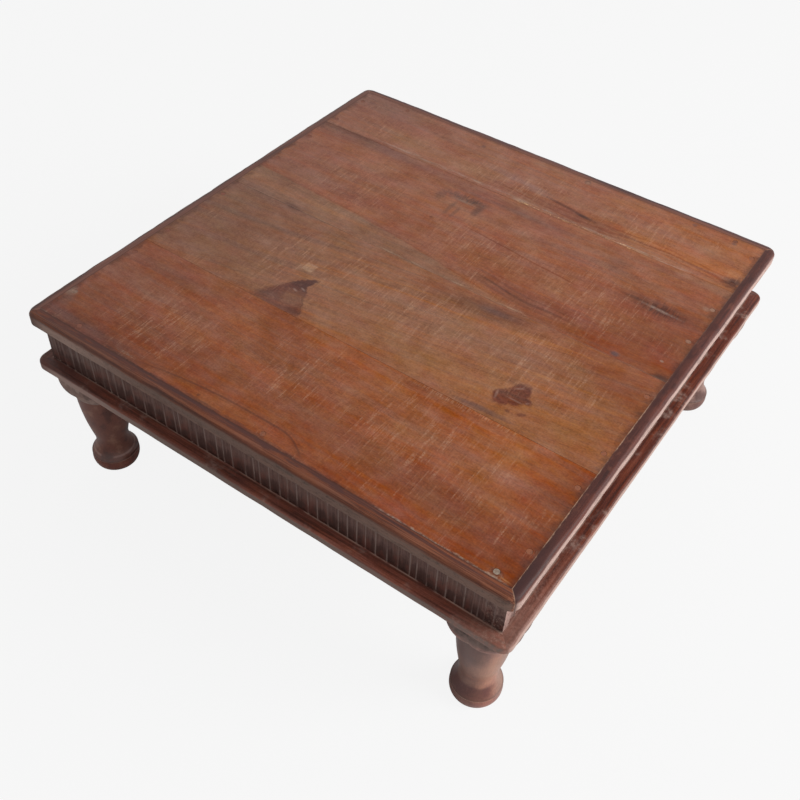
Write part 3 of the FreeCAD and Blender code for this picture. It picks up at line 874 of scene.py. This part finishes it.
def frieze_finish(side, seed):
    """Brown flutes and pale ridges, told apart by how far the surface lies behind the face."""
    f = Finish("frieze_" + side, shine=0.12)
    along, outward = side_places(f, side)
    drop = side_reach(side, frieze_half)[1] - outward
    upright = f.noise((1.3, 1.3, 60), 2.0, 0.6, seed + 2.0)
    smudge = f.noise((16, 16, 22), 3.0, 0.62, seed + 3.0)
    grit = f.noise((2.4, 2.4, 3.0), 3.0, 0.65, seed + 4.0)
    value = 0.98 + (upright - 0.5) * 1.3 + (grit - 0.5) * 0.7 + (smudge - 0.5) * 0.5
    f.colour = flute_brown
    f.colour = f.tone(value, 1.0, 0.5 + (smudge - 0.5) * 0.05)
    if side == "front":
        f.lay((0.165, 0.130, 0.117), f.x.rise(-150, -270) * upright.rise(0.42, 0.62) * 0.55)
    level = f.z + (smudge - 0.5) * 22 + (upright - 0.5) * 10
    grime = level.rise(rail_foot + 25, rail_foot + 9)
    f.lay(flute_dark, grime * 0.70)
    red_foot = smudge.rise(0.46, 0.64) * level.rise(rail_foot + 38, rail_foot + 18)
    f.lay((0.132, 0.040, 0.030), red_foot * 0.50)
    # Only the ridges and the flat ends have no drop behind the face
    worn = f.noise((12, 12, 26), 2.0, 0.6, seed + 5.0).rise(0.38, 0.60)
    if side == "front":
        worn = worn * (f.x.rise(-290, -170) * 0.65 + 0.35)
    flat_start = side_reach(side, frieze_half)[0] - corner_flat
    flats = along.size().rise(flat_start - 1, flat_start + 1)
    ridge = drop.rise(0.40, 0.08) * (1 - flats)
    f.lay(ridge_pale, ridge * (0.14 + worn * 0.62))
    if side == "right":
        # Painted light on the lit right side: the right frieze is paler above its dark foot, and palest near
        # the front right corner
        f.lay((0.300, 0.180, 0.150), (1 - grime) * 0.40 + flats * 0.20)
        f.lay((0.330, 0.212, 0.184), corner_wear_and_light(f, 64, 22) * (0.42 + upright * 0.45))
    if side in ("front", "right"):
        broken = corner_wear_and_light(f, 34, 8)
        chips = f.noise((3.2, 3.2, 5.0), 3.0, 0.65, seed + 7.0)
        f.lay((0.235, 0.150, 0.124), broken * chips.rise(0.53, 0.62) * 0.60)
        broken_foot = broken * chips.rise(0.45, 0.36) * level.rise(rail_foot + 40, rail_foot + 20)
        f.lay(flute_dark, broken_foot * 0.80)
    foot = (f.z - rail_foot + (grit - 0.5) * 1.6).rise(1.5, 0.5) * (0.25 + smudge.rise(0.40, 0.56) * 0.75)
    f.lay(dust_pale, foot * drop.rise(0.8, 0.2) * 0.55)
    return f.close(0.60 + grit * 0.15, upright * 0.6 + grit * 0.4, 0.40)


frieze_finishes = {side: frieze_finish(side, 80.0 + turn / 10) for side, turn in sides.items()}
print("frieze finishes:", len(frieze_finishes))

# %% Base frame: red on the ledge, dusty, with a painted sheen on its upright edge
base_tones = {
    "front": ((0.078, 0.026, 0.018), (0.165, 0.052, 0.034), (0.270, 0.100, 0.068)),
    "right": ((0.055, 0.014, 0.009), (0.118, 0.027, 0.014), (0.215, 0.070, 0.042)),
    "back": ((0.070, 0.022, 0.015), (0.140, 0.042, 0.026), (0.230, 0.090, 0.060)),
    "left": ((0.070, 0.022, 0.015), (0.140, 0.042, 0.026), (0.230, 0.090, 0.060)),
}


def base_finish(side, tones, seed):
    """Streaked red wood with dust on the ledge, and a painted sheen on the upright edge: pale on the lit
    right side, gray on the shaded sides.
    """
    f = Finish("base_" + side, shine=0.20)
    along, outward = side_places(f, side)
    streaks, lines, blots = streaked_wood(f, along, outward, tones, seed, 90.0)
    # Dust lies in patches on the ledge and as a ragged pale line along the frieze
    patches = f.noise((34, 34, 34), 3.0, 0.62, seed + 4.0).rise(0.53, 0.66)
    smears = f.noise((4.5, 4.5, 4.5), 3.0, 0.62, seed + 6.0).rise(0.42, 0.60)
    grit = f.noise((1.6, 1.6, 1.6), 2.0, 0.6, seed + 12.0).rise(0.40, 0.62)
    dust_share = 0.75 if side == "right" else 0.45
    f.lay((0.300, 0.205, 0.170), patches * (0.25 + smears * 0.55) * dust_share)
    ledge = side_reach(side, frieze_half)[1]
    line = (outward - ledge - 0.5 + (lines - 0.5) * 1.4).size().rise(1.2, 0.3)
    f.lay(dust_pale, line * blots.rise(0.38, 0.54) * 0.55)
    f.lay(flute_dark, (outward - ledge).rise(0.1, -0.2) * 0.90)
    if side in ("front", "right"):
        grains = f.noise((1.1, 1.1, 1.1), 2.0, 0.6, seed + 8.0).rise(0.44, 0.62)
        f.lay((0.270, 0.180, 0.140), corner_wear_and_light(f, 46, 6) * smears * (grains * 0.42 + 0.12))
    if side == "right":
        dusty = f.y.rise(-140, -262) * (0.12 + smears * 0.16 + grit * 0.20 + streaks.rise(0.44, 0.62) * 0.20)
        f.lay((0.300, 0.142, 0.108), dusty)
    if side == "front":
        f.colour = f.tone(f.x.rise(-60, 220) * 0.62 + 1.22)
        f.lay((0.048, 0.021, 0.019), f.x.rise(-180, -285) * (0.35 + streaks * 0.50))
    if side in ("front", "right"):
        f.lay((0.172, 0.084, 0.064), corner_wear_and_light(f, 60, 14) * 0.55)
    # Painted sheen on the upright face: pale on the lit right side, gray on the shaded sides, and paler to
    # the left on the front
    depth = side_reach(side, base_half)[1] - outward
    face = depth.rise(2.8, 0.7) * (f.z + (blots - 0.5) * 2).rise(rail_foot - 0.8, rail_foot - 3.0)
    if side == "front":
        face = face * (1 - corner_wear_and_light(f, 90, 24) * smears * 0.7) * (1 - f.x.rise(-266, -298) * 0.80)
    face_tone = (0.400, 0.270, 0.228) if side == "right" else (0.164, 0.120, 0.102)
    if side == "front":
        face_tone = f.paint(face_tone, (0.325, 0.218, 0.186), f.x.rise(-110, -250))
    f.lay(face_tone, face * 0.82 * (0.78 + blots * 0.44))
    return f.close(0.46 + patches * 0.2 + face * 0.1, lines * 0.6 + smears * 0.4, 0.40)


base_finishes = {side: base_finish(side, base_tones[side], 90.0 + turn / 10) for side, turn in sides.items()}
print("base frame finishes:", len(base_finishes))

# %% Legs and capitals


def turned_finish(
    name, tones, foot_tone, seed, patchy, roughness, shine, ring_level=None, stain_and_shade=None
):
    """Turned wood, rubbed smooth: soft clouds, specks, faint grain upwards and faint turning lines.

    A leg given its middle (x, y) gets painted shade on its left, away from the lamp: darker there, with a
    painted shadow at the neck under the capital and a painted dark band above the ring, and its lit right
    side is toned down.
    """
    f = Finish(name, roughness, shine)
    dark, middle, light = tones
    clouds = f.noise((22, 22, 26), 3.0, 0.58, seed)
    specks = f.noise((1.6, 1.6, 2.2), 3.0, 0.65, seed + 2.0)
    grain = f.noise((1.6, 1.6, 34), 2.0, 0.55, seed + 3.0)
    turning = f.noise((40, 40, 1.0), 2.0, 0.6, seed + 4.0)
    f.colour = f.paint(middle, dark, clouds.rise(0.48, 0.32) * patchy)
    f.lay(light, clouds.rise(0.54, 0.70) * patchy)
    value = 0.96 + (specks - 0.5) * 0.55 + (grain - 0.5) * 0.40 + (turning - 0.5) * 0.30
    if ring_level is not None:
        below = (f.z + (clouds - 0.5) * 6).rise(ring_level + 2, ring_level - 4)
        f.lay(foot_tone, below * 0.70)
        flare = f.z.rise(ring_level + 22, ring_level + 4)
        f.lay(dark, flare * clouds.rise(0.60, 0.36) * 0.42)
    else:
        dirt = f.noise((7, 7, 9), 3.0, 0.64, seed + 6.0)
        value = value + (dirt - 0.5) * 1.0
        rim = (f.z - capital_foot + (clouds - 0.5) * 12 + (specks - 0.5) * 4).rise(25.0, 14.0)
        f.lay(foot_tone, rim * (0.40 + dirt.rise(0.36, 0.60) * 0.36))
    if stain_and_shade is not None:
        # Painted shade on the leg's left, away from the lamp, and a duller tone on its lit right side
        rightward = (f.x - stain_and_shade[0]) * 0.885 + (f.y - stain_and_shade[1]) * 0.465 + (clouds - 0.5) * 16
        f.lay((0.098, 0.044, 0.036), rightward.rise(10, -20) * 0.78)
        f.lay((0.190, 0.122, 0.104), rightward.rise(12, 25) * 0.66)
        # Painted shadow at the neck under the capital, and painted shade in a band above the ring, both on
        # the left
        neck = (f.z + (clouds - 0.5) * 14).rise(capital_foot - 48, capital_foot - 26)
        f.lay((0.085, 0.032, 0.026), neck * rightward.rise(14, -8) * 0.74)
        band = (f.z - leg_ring - 8 + (clouds - 0.5) * 5).size().rise(9, 4)
        f.lay((0.082, 0.024, 0.022), band * rightward.rise(24, 4) * 0.76)
    f.colour = f.tone(value, 1.0, 0.5 + (clouds - 0.5) * 0.02)
    if ring_level is not None:
        # Painted highlight: a pale line on the ring, a dark line in the groove above it, and on legs without
        # painted shade a painted highlight along the flare's edge
        ring = (f.z - ring_level + (specks - 0.5) * 0.8).size()
        f.lay(pale_scratch_and_glint, ring.rise(1.1, 0.3) * (0.70 if stain_and_shade is not None else 0.40))
        f.lay(deep_brown, (f.z - ring_level - 1.9).size().rise(1.3, 0.3) * 0.45)
        if stain_and_shade is None:
            edge = (f.z - ring_level - 6.5 + (specks - 0.5) * 1.5).size().rise(1.8, 0.4)
            f.lay((0.400, 0.250, 0.215), edge * clouds.rise(0.36, 0.52) * 0.42)
    rough = roughness + clouds * 0.16 + (specks - 0.5) * 0.10
    return f.close(rough, specks * 0.4 + turning * 0.35 + grain * 0.25, 0.25)


leg_ring = 15.0
capital_low, capital_high = node_box("capital_front_right")
capital_foot = capital_low[2]
leg_middle = ((capital_low[:2] + capital_high[:2]) / 2).tolist()
leg_finishes = {
    "front_right": turned_finish(
        "leg_front_right",
        ((0.200, 0.088, 0.062), (0.350, 0.160, 0.104), (0.410, 0.210, 0.140)),
        (0.300, 0.100, 0.078), 101.0, 0.55, 0.32, 0.34, leg_ring, leg_middle,
    ),
    "front_left": turned_finish(
        "leg_front_left",
        ((0.066, 0.022, 0.015), (0.158, 0.052, 0.034), (0.262, 0.120, 0.082)),
        (0.205, 0.056, 0.036), 107.0, 0.80, 0.24, 0.44, leg_ring,
    ),
    "back_right": turned_finish(
        "leg_back_right",
        ((0.090, 0.044, 0.036), (0.215, 0.122, 0.100), (0.350, 0.245, 0.215)),
        (0.200, 0.100, 0.082), 113.0, 0.90, 0.40, 0.24, leg_ring,
    ),
    "back_left": turned_finish(
        "leg_back_left",
        ((0.080, 0.040, 0.030), (0.180, 0.090, 0.065), (0.270, 0.150, 0.110)),
        (0.180, 0.080, 0.060), 119.0, 0.60, 0.36, 0.30, leg_ring,
    ),
}
capital_tones = ((0.078, 0.045, 0.038), (0.212, 0.135, 0.113), (0.350, 0.258, 0.224))
dirty_tones = ((0.046, 0.029, 0.025), (0.150, 0.096, 0.082), (0.290, 0.222, 0.190))
capital_finishes = {
    corner: turned_finish("capital_" + corner, tones, rim_tone, seed, 0.9, 0.50, 0.14)
    for corner, tones, rim_tone, seed in (
        ("front_left", capital_tones, (0.262, 0.176, 0.148), 131.0),
        ("front_right", dirty_tones, (0.290, 0.142, 0.112), 137.0),
        ("back_right", capital_tones, (0.210, 0.114, 0.092), 139.0),
        ("back_left", capital_tones, (0.210, 0.114, 0.092), 149.0),
    )
}
print("turned finishes:", len(leg_finishes) + len(capital_finishes))

# %% Unfinished timber inside, and nails


def inner_finish():
    """Streaked wood that was never stained or rubbed."""
    f = Finish("inner_timber", shine=0.12)
    tones = ((0.180, 0.095, 0.060), (0.290, 0.170, 0.110), (0.380, 0.240, 0.160))
    streaks, lines, blots = streaked_wood(f, f.y, f.x, tones, 151.0)
    return f.close(0.62 + blots * 0.15, lines * 0.6 + streaks * 0.4, 0.40)


def nail_finish():
    """Old stain covers most heads, and bare iron shows on a few."""
    f = Finish("nail_iron")
    grain = f.noise((1.2, 1.2, 1.2), 3.0, 0.6, 3.0)
    rust = f.noise((3, 3, 3), 2.0, 0.6, 8.0).rise(0.48, 0.62)
    stain = f.paint((0.206, 0.080, 0.054), (0.256, 0.090, 0.046), f.x.rise(-250, 100))
    stain = f.paint(stain, purple_gray, 0.06 + rust * 0.18)
    iron = f.paint((0.190, 0.140, 0.110), (0.370, 0.300, 0.235), grain)
    bare = f.spot(269, -284, 6, 6, 0.3)
    for x, y, share in ((281, 150, 0.40), (281, 85, 0.32), (58, 284, 0.36), (-281, -250, 0.5)):
        bare = bare.highest(f.spot(x, y, 6, 6, 0.3) * share)
    f.colour = f.paint(stain, iron, bare)
    f.lay((0.130, 0.060, 0.038), rust * 0.40)
    f.dab(deep_brown, 0.32, 254, 284, 7, 7, 0.3)
    f.dab(deep_brown, 0.74, 281, 210, 9, 9, 0.3)
    f.lay(iron, f.z.rise(195, 190) * 0.8)
    return f.close(0.55 + grain * 0.2, grain, 0.3)


inner_wood = inner_finish()
nail_iron = nail_finish()
for name, node in nodes.items():
    if name.startswith(("corner_post", "batten")) or name.endswith("nails"):
        nails = name.endswith("nails")
        node.data.materials.clear()
        node.data.materials.append(nail_iron if nails else inner_wood)

# %% [markdown]
# ## Bars with mitred ends
# A strip, a rail and a base board are all bars that run along one side and meet their
# neighbours at 45 degrees. The bar is a closed section carried along the side. A section
# point has a depth behind the outer face and a height. The deeper the point, the shorter the
# bar is there, and that makes the mitre. Where the plan corner is round, the outer face
# curves inwards by the height of a circle's arc.

# %% The bar


def mitred_bar(half, reach, width, depth, height, share, corner=0.0):
    """Closed bar on the front side, from arrays over (place along, place round the section).

    Each end is cut where the distance inwards along X equals the distance inwards along Y.
    """
    end_inset = corner * (1 - math.sqrt(0.5))
    outer = share * (half - end_inset)
    into_corner = np.clip(np.abs(outer) - (half - corner), 0, None)
    inset = corner - np.sqrt(np.clip(corner**2 - into_corner**2, 0, None))
    inward = inset + (width - inset) * depth / width
    inward_end = end_inset + (width - end_inset) * depth / width
    points = np.stack([share * (half - inward_end), -reach + inward, height + 0 * inward], axis=-1)
    rows, columns = depth.shape
    faces = grid_faces(rows, columns)
    faces.append(list(range(columns)))
    faces.append([(rows - 1) * columns + column for column in range(columns)])
    return points.reshape(-1, 3), faces


def rounded_section(width, foot, head, arris, foot_round, steps=6):
    """Depth and height round a bar's section: back, top, quarter circle, face, quarter circle, foot.

    The radii may be columns, one number for each place along the bar.
    """
    angle = np.linspace(0, np.pi / 2, steps)[None, :]
    arris, foot_round = (np.atleast_2d(radius).reshape(-1, 1) for radius in (arris, foot_round))
    rows = max(len(arris), len(foot_round))
    face = np.linspace(0, 1, 5)[None, 1:-1]
    face_head, face_foot = head - arris, foot + foot_round
    flat = np.ones((rows, 1))
    depth = [width * flat, width * flat, arris * (1 - np.sin(angle)) * flat, 0 * face * flat]
    height = [foot * flat, head * flat, (head - arris * (1 - np.cos(angle))) * flat]
    height.append(face_head * (1 - face) + face_foot * face)
    depth += [foot_round * (1 - np.cos(angle)) * flat]
    height += [(foot + foot_round * (1 - np.sin(angle))) * flat]
    return np.concatenate(depth, axis=1), np.concatenate(height, axis=1)


def places_along(count, close=14):
    """Shares from -1 to 1 along a bar, closer together near its ends."""
    ends = np.linspace(0.95, 1.0, close)
    middle = np.linspace(-0.95, 0.95, count)[1:-1]
    return np.concatenate([-ends[::-1], middle, ends])[:, None]


# %% Strips with a rubbed arris
strip_corner, strip_arris, strip_foot_round = 11.5, 4.4, 1.0


def make_strip(side, seed):
    """A bar whose arris radius wavers along it and grows with the eighth power of the share."""
    half, reach = side_reach(side, top_half)
    share = places_along(220)
    x = share * half
    arris = strip_arris + 0.7 * drift(x, 34, seed) + 0.35 * drift(x, 7, seed + 1) + 1.5 * share**8
    depth, height = rounded_section(strip_width, strip_foot, top_level, arris, strip_foot_round + 0 * x)
    worn = 0.22 * (1 + drift(x, 19, seed + 2)) * (1 - depth / strip_width) * np.clip(1 - share**20, 0, 1)
    depth = depth + worn
    points, faces = mitred_bar(half, reach, strip_width, depth, height, share, strip_corner)
    return turn_about_z(points, sides[side]), faces


for number, side in enumerate(sides):
    points, faces = make_strip(side, 300 + 10 * number)
    add_piece("strip_" + side, points, faces, "edge_strip_" + side, strip_finishes[side])
print("strips made:", len(sides))

# %% [markdown]
# ## Fluted frieze
# The flutes are hollows cut by hand with a gouge, so no two are of quite the same width and
# the ridges between them waver. Across a flute the depth is a parabola, nothing at its two
# edges and most in the middle.

# %% Rails with flutes
flute_pitch, flute_depth, flute_ridge = 11.4, 1.7, 0.9
flute_width_shares = (
    1.00, 1.10, 0.90, 0.85, 1.05, 1.25, 0.85, 0.85, 1.15, 1.20, 1.35, 1.25, 1.25, 1.30, 0.55, 1.30, 0.75,
    1.05, 1.35, 0.75, 1.00, 1.50, 1.00, 0.65, 1.10, 1.10, 0.90, 1.00, 1.20, 1.00, 1.10, 1.10, 0.95, 0.95,
    0.90, 1.00, 1.15, 1.10, 1.15, 0.65, 1.00, 0.90, 0.90, 0.90, 0.80, 0.80, 0.50, 0.60, 0.85,
)
flute_places = np.concatenate([[0.0, 0.04], np.linspace(0.10, 0.90, 9), [0.96]])
rail_end_shares = np.array([0.997, 0.999, 1.0])


def flute_rows(half):
    """Places along a rail and the cut at each, flute after flute.

    The cut is the flute's depth times one less the square of the place across it, from -1 to 1.
    """
    usable = 2 * (half - corner_flat)
    count = round(usable / flute_pitch)
    shares = np.array([flute_width_shares[place % len(flute_width_shares)] for place in range(count)])
    edges = -usable / 2 + np.concatenate([[0], np.cumsum(shares)]) * usable / shares.sum()
    widths = np.diff(edges)
    inside = (edges[:-1, None] + flute_ridge / 2) + (widths[:, None] - flute_ridge) * flute_places[None, :]
    cut = flute_depth * shares[:, None] * (1 - (2 * flute_places[None, :] - 1) ** 2)
    last = edges[1:, None] - flute_ridge / 2
    places = np.concatenate([inside, last], axis=1).ravel()
    cuts = np.concatenate([cut, 0 * last], axis=1).ravel()
    flat = rail_end_shares * half
    return np.concatenate([-flat[::-1], places, flat]), np.concatenate([0 * flat, cuts, 0 * flat])


def make_rail(side, seed):
    """A bar whose face is set back by the cut of the flutes, a little more or less with the height.

    The ridges sway sideways by a smooth random line of the place times one of the height.
    """
    half, reach = side_reach(side, frieze_half)
    places, cuts = flute_rows(half)
    upright = np.linspace(strip_foot, rail_foot, 20)
    across, along_flute = places[:, None], upright[None, :]
    waver = 0.35 * drift(across / 5.0, 3, seed) * drift(along_flute + across // 11 * 37, 21, seed + 1)
    cut = cuts[:, None] * (1 + 0.16 * drift(along_flute + across // 11 * 53, 17, seed + 2))
    cut = cut + 0.05 * (1 + drift(across + along_flute * 0.7, 2.6, seed + 3)) * (cuts[:, None] > 0)
    flat = np.ones((len(places), 1))
    depth = np.concatenate([cut, rail_width * flat, rail_width * flat], axis=1)
    height = np.concatenate([along_flute * flat, rail_foot * flat, strip_foot * flat], axis=1)
    inner = np.abs(across) < half - corner_flat
    moved = across + np.where(inner, np.pad(waver, ((0, 0), (0, 2))), 0)
    points, faces = mitred_bar(half, reach, rail_width, depth, height, moved / half)
    return turn_about_z(points, sides[side]), faces


for number, side in enumerate(sides):
    points, faces = make_rail(side, 400 + 10 * number)
    add_piece("rail_" + side, points, faces, "frieze_" + side, frieze_finishes[side], 30)
print("flutes on a side:", round(2 * (frieze_half[0] - corner_flat) / flute_pitch))

# %% Base frame boards
base_corner, base_arris, base_foot_round = 12.0, 3.0, 1.0


def make_base_board(side, seed):
    """A bar like the strip: a wavering arris, and a face worn back most where it is outermost."""
    half, reach = side_reach(side, base_half)
    share = places_along(200)
    x = share * half
    arris = base_arris + 0.6 * drift(x, 40, seed) + 0.3 * drift(x, 8, seed + 1)
    depth, height = rounded_section(base_width, base_foot, rail_foot, arris, base_foot_round + 0 * x)
    worn = 0.20 * (1 + drift(x, 23, seed + 2)) * np.clip(1 - depth / 9, 0, 1) * np.clip(1 - share**20, 0, 1)
    points, faces = mitred_bar(half, reach, base_width, depth + worn, height, share, base_corner)
    return turn_about_z(points, sides[side]), faces


for number, side in enumerate(sides):
    points, faces = make_base_board(side, 500 + 10 * number)
    add_piece("base_" + side, points, faces, "base_board_" + side, base_finishes[side])
print("base boards made:", len(sides))

# %% [markdown]
# ## Turned legs and lobed capitals
# A leg is a half outline turned about its axis. The outline is made of circle arcs, each
# through three points, as the CAD's is. A capital is four round lobes on the diagonals, and
# in plan its outline is the far edge of the nearest lobe's circle.

# %% Legs
leg_foot_rounds = ((26.8, 14.8), (27.9, 7.4), (25.6, 0.0))
leg_hollow = ((20.2, 47.3), (19.2, 39.0), (26.8, 17.0))
leg_belly_share = 0.59
leg_top_radius, leg_belly_radius = 29.0, 27.3
groove_depth = 1.6
leg_oval_share = 0.010


def arc_through(first, middle, last, count):
    """Points (radius, height) on the circle through three points, from the first to the last."""
    (ax, ay), (bx, by), (cx, cy) = first, middle, last
    twice = 2 * (ax * (by - cy) + bx * (cy - ay) + cx * (ay - by))
    a, b, c = ax**2 + ay**2, bx**2 + by**2, cx**2 + cy**2
    x = (a * (by - cy) + b * (cy - ay) + c * (ay - by)) / twice
    y = (a * (cx - bx) + b * (ax - cx) + c * (bx - ax)) / twice
    start, stop = math.atan2(ay - y, ax - x), math.atan2(cy - y, cx - x)
    stop = start + (stop - start + math.pi) % (2 * math.pi) - math.pi
    angle = np.linspace(start, stop, count)
    radius = math.hypot(ax - x, ay - y)
    return np.stack([x + radius * np.cos(angle), y + radius * np.sin(angle)], axis=1)


def leg_outline(head):
    """Half outline from the head down: belly, hollow, groove and foot, an arc each."""
    neck = leg_hollow[0][1]
    belly = (leg_belly_radius, neck + (head - neck) * leg_belly_share)
    shoulder, foot_top = leg_hollow[2], leg_foot_rounds[0]
    groove = (shoulder[0] - groove_depth, (shoulder[1] + foot_top[1]) / 2)
    runs = [
        arc_through((leg_top_radius, head), belly, leg_hollow[0], 26),
        arc_through(*leg_hollow, 24)[1:],
        arc_through(shoulder, groove, foot_top, 7)[1:],
        arc_through(*leg_foot_rounds, 14)[1:],
    ]
    return np.concatenate(runs)


def closed_rings(centre, angle, radius, heights):
    """Rings of points about an upright axis, joined and closed at both ends.

    A point is the centre plus the radius times the cosine and sine of its angle.
    """
    height = heights + 0 * angle
    x, y = centre[0] + radius * np.cos(angle), centre[1] + radius * np.sin(angle)
    ends = [[*centre, heights[0, 0]], [*centre, heights[-1, 0]]]
    points = np.concatenate([np.stack([x, y, height], axis=-1).reshape(-1, 3), ends])
    rows, around = height.shape
    return points, grid_faces(rows, around) + cap_faces(rows, around)


def make_leg(corner, shift, around=112):
    """Outline turned about its axis and a little out of round: it is narrower twice a turn."""
    low, high = node_box("capital_" + corner)
    outline = leg_outline(low[2])
    angle = np.linspace(0, 2 * np.pi, around, endpoint=False)[None, :]
    radius = outline[:, :1] * (1 - leg_oval_share * (1 + np.cos(2 * angle + shift)) / 2)
    return closed_rings((low[:2] + high[:2]) / 2, angle, radius, outline[:, 1:])


for number, corner in enumerate(corners):
    points, faces = make_leg(corner, number)
    add_piece("turned_leg_" + corner, points, faces, "leg_" + corner, leg_finishes[corner], 50)

# %% Capitals
lobe_offset, lobe_foot, lobe_straight = 10.5, 21.0, 9.0
roll_radius_share, roll_height_share = 0.72, 0.33


def capital_outline(lobe, foot, head):
    """Radius and height of one lobe: upright, then rolled in to the foot."""
    roll = head - lobe_straight
    middle = (lobe_foot + (lobe - lobe_foot) * roll_radius_share, foot + (roll - foot) * roll_height_share)
    straight = np.stack([np.full(5, lobe), np.linspace(head, roll, 5)], axis=1)
    return np.concatenate([straight, arc_through((lobe, roll), middle, (lobe_foot, foot), 22)[1:]])


def make_capital(corner, around=160):
    """Grid over angle and height: the far edge of a circle set off from the axis on the nearest diagonal."""
    low, high = node_box("capital_" + corner)
    lobe = (high[0] - low[0]) / 2 - lobe_offset * math.sqrt(0.5)
    outline = capital_outline(lobe, low[2], high[2])
    angle = np.linspace(0, 2 * np.pi, around, endpoint=False)[None, :]
    from_lobe = (angle % (np.pi / 2)) - np.pi / 4
    side_step = lobe_offset * np.sin(from_lobe)
    radius = lobe_offset * np.cos(from_lobe) + np.sqrt(outline[:, :1] ** 2 - side_step**2)
    return closed_rings((low[:2] + high[:2]) / 2, angle, radius, outline[:, 1:])


for corner in corners:
    points, faces = make_capital(corner)
    finish = capital_finishes[corner]
    add_piece("lobed_capital_" + corner, points, faces, "capital_" + corner, finish, 28)
print("legs and capitals made:", 2 * len(corners))

# %% [markdown]
# ## Floor, light and camera
# The floor and the world show white to the camera, and the floor keeps a soft shadow. The
# main light is a large soft lamp on the right, where the photograph's window is. The camera
# was worked out from the table's own straight edges: its place, turn and focal length.

# %% Floor and world
floor_half, floor_gray, floor_seen, floor_glow_share = 8.0, 0.80, 0.94, 0.94
world_seen, world_light = 0.93, 0.50


def pale_floor():
    """A wide sheet, gray and matt under the lamp, that glows nearly white to the camera."""
    mesh = bpy.data.meshes.new("floor")
    spots = [(x * floor_half, y * floor_half, 0) for x, y in ((-1, -1), (1, -1), (1, 1), (-1, 1))]
    mesh.from_pydata(spots, [], [(0, 1, 2, 3)])
    floor = bpy.data.objects.new("floor", mesh)
    bpy.context.scene.collection.objects.link(floor)
    material = bpy.data.materials.new("pale_floor")
    material.use_nodes = True
    tree = Nodes(material.node_tree)
    seen = Mask(tree, tree.add("ShaderNodeLightPath").outputs["Is Camera Ray"])
    matt = tree.add("ShaderNodeBsdfDiffuse", Color=(floor_gray, floor_gray, floor_gray))
    glow = tree.add("ShaderNodeEmission", Color=(floor_seen, floor_seen, floor_seen))
    mix = tree.add("ShaderNodeMixShader")
    for socket, value in zip(mix.inputs, (seen * floor_glow_share, matt.outputs[0], glow.outputs[0])):
        tree.feed(socket, value)
    tree.add("ShaderNodeOutputMaterial", Surface=mix.outputs[0])
    floor.data.materials.append(material)


def pale_world():
    """White to the camera and in reflections, and dimmer as a light."""
    world = bpy.data.worlds.new("pale_room")
    bpy.context.scene.world = world
    world.use_nodes = True
    tree = Nodes(world.node_tree)
    rays = tree.add("ShaderNodeLightPath")
    seen = Mask(tree, rays.outputs["Is Camera Ray"]).highest(Mask(tree, rays.outputs["Is Glossy Ray"]))
    strength = seen * (world_seen - world_light) + world_light
    background = tree.add("ShaderNodeBackground", Color=(1.0, 1.0, 1.0), Strength=strength)
    tree.add("ShaderNodeOutputWorld", Surface=background.outputs[0])


def soft_lamp(name, place, target, size, power):
    """A rectangular lamp at a place, turned towards a target."""
    lamp = bpy.data.lights.new(name, "AREA")
    lamp.shape = "RECTANGLE"
    lamp.size, lamp.size_y = size
    lamp.energy = power
    holder = bpy.data.objects.new(name, lamp)
    bpy.context.scene.collection.objects.link(holder)
    towards = np.array(target, float) - np.array(place, float)
    towards /= np.linalg.norm(towards)
    side = np.cross(towards, (0, 0, 1))
    side /= np.linalg.norm(side)
    above = np.cross(side, towards)
    turn = np.eye(4)
    turn[:3, 0], turn[:3, 1], turn[:3, 2], turn[:3, 3] = side, above, -towards, place
    holder.matrix_world = Matrix(turn.tolist())


pale_floor()
pale_world()
soft_lamp("window", (2.6, 0.9, 1.7), (0, 0, 0.15), (1.8, 1.4), 110)

# %% Camera
focal_pixels, picture_pixels, sensor_width = 992.8, 800, 36.0
camera_azimuth, camera_height_angle, camera_roll = 32.84, 45.88, 3.32
camera_place = (0.4546, -0.7366, 0.6958 + top_level * MM)


def photo_camera():
    """Camera whose axes follow from the azimuth, the height angle and a small roll."""
    azimuth, rise, roll = np.radians((camera_azimuth, camera_height_angle, camera_roll))
    back = np.array([math.sin(azimuth) * math.cos(rise), -math.cos(azimuth) * math.cos(rise), math.sin(rise)])
    right = np.cross(-back, (0, 0, 1))
    right /= np.linalg.norm(right)
    above = np.cross(right, -back)
    turn = np.eye(4)
    turn[:3, 0] = math.cos(roll) * right + math.sin(roll) * above
    turn[:3, 1] = math.cos(roll) * above - math.sin(roll) * right
    turn[:3, 2], turn[:3, 3] = back, camera_place
    data = bpy.data.cameras.new("camera")
    data.sensor_width = sensor_width
    data.lens = sensor_width * focal_pixels / picture_pixels
    holder = bpy.data.objects.new("camera", data)
    bpy.context.scene.collection.objects.link(holder)
    holder.matrix_world = Matrix(turn.tolist())
    bpy.context.scene.camera = holder


photo_camera()
bpy.context.scene.view_settings.view_transform = "Standard"
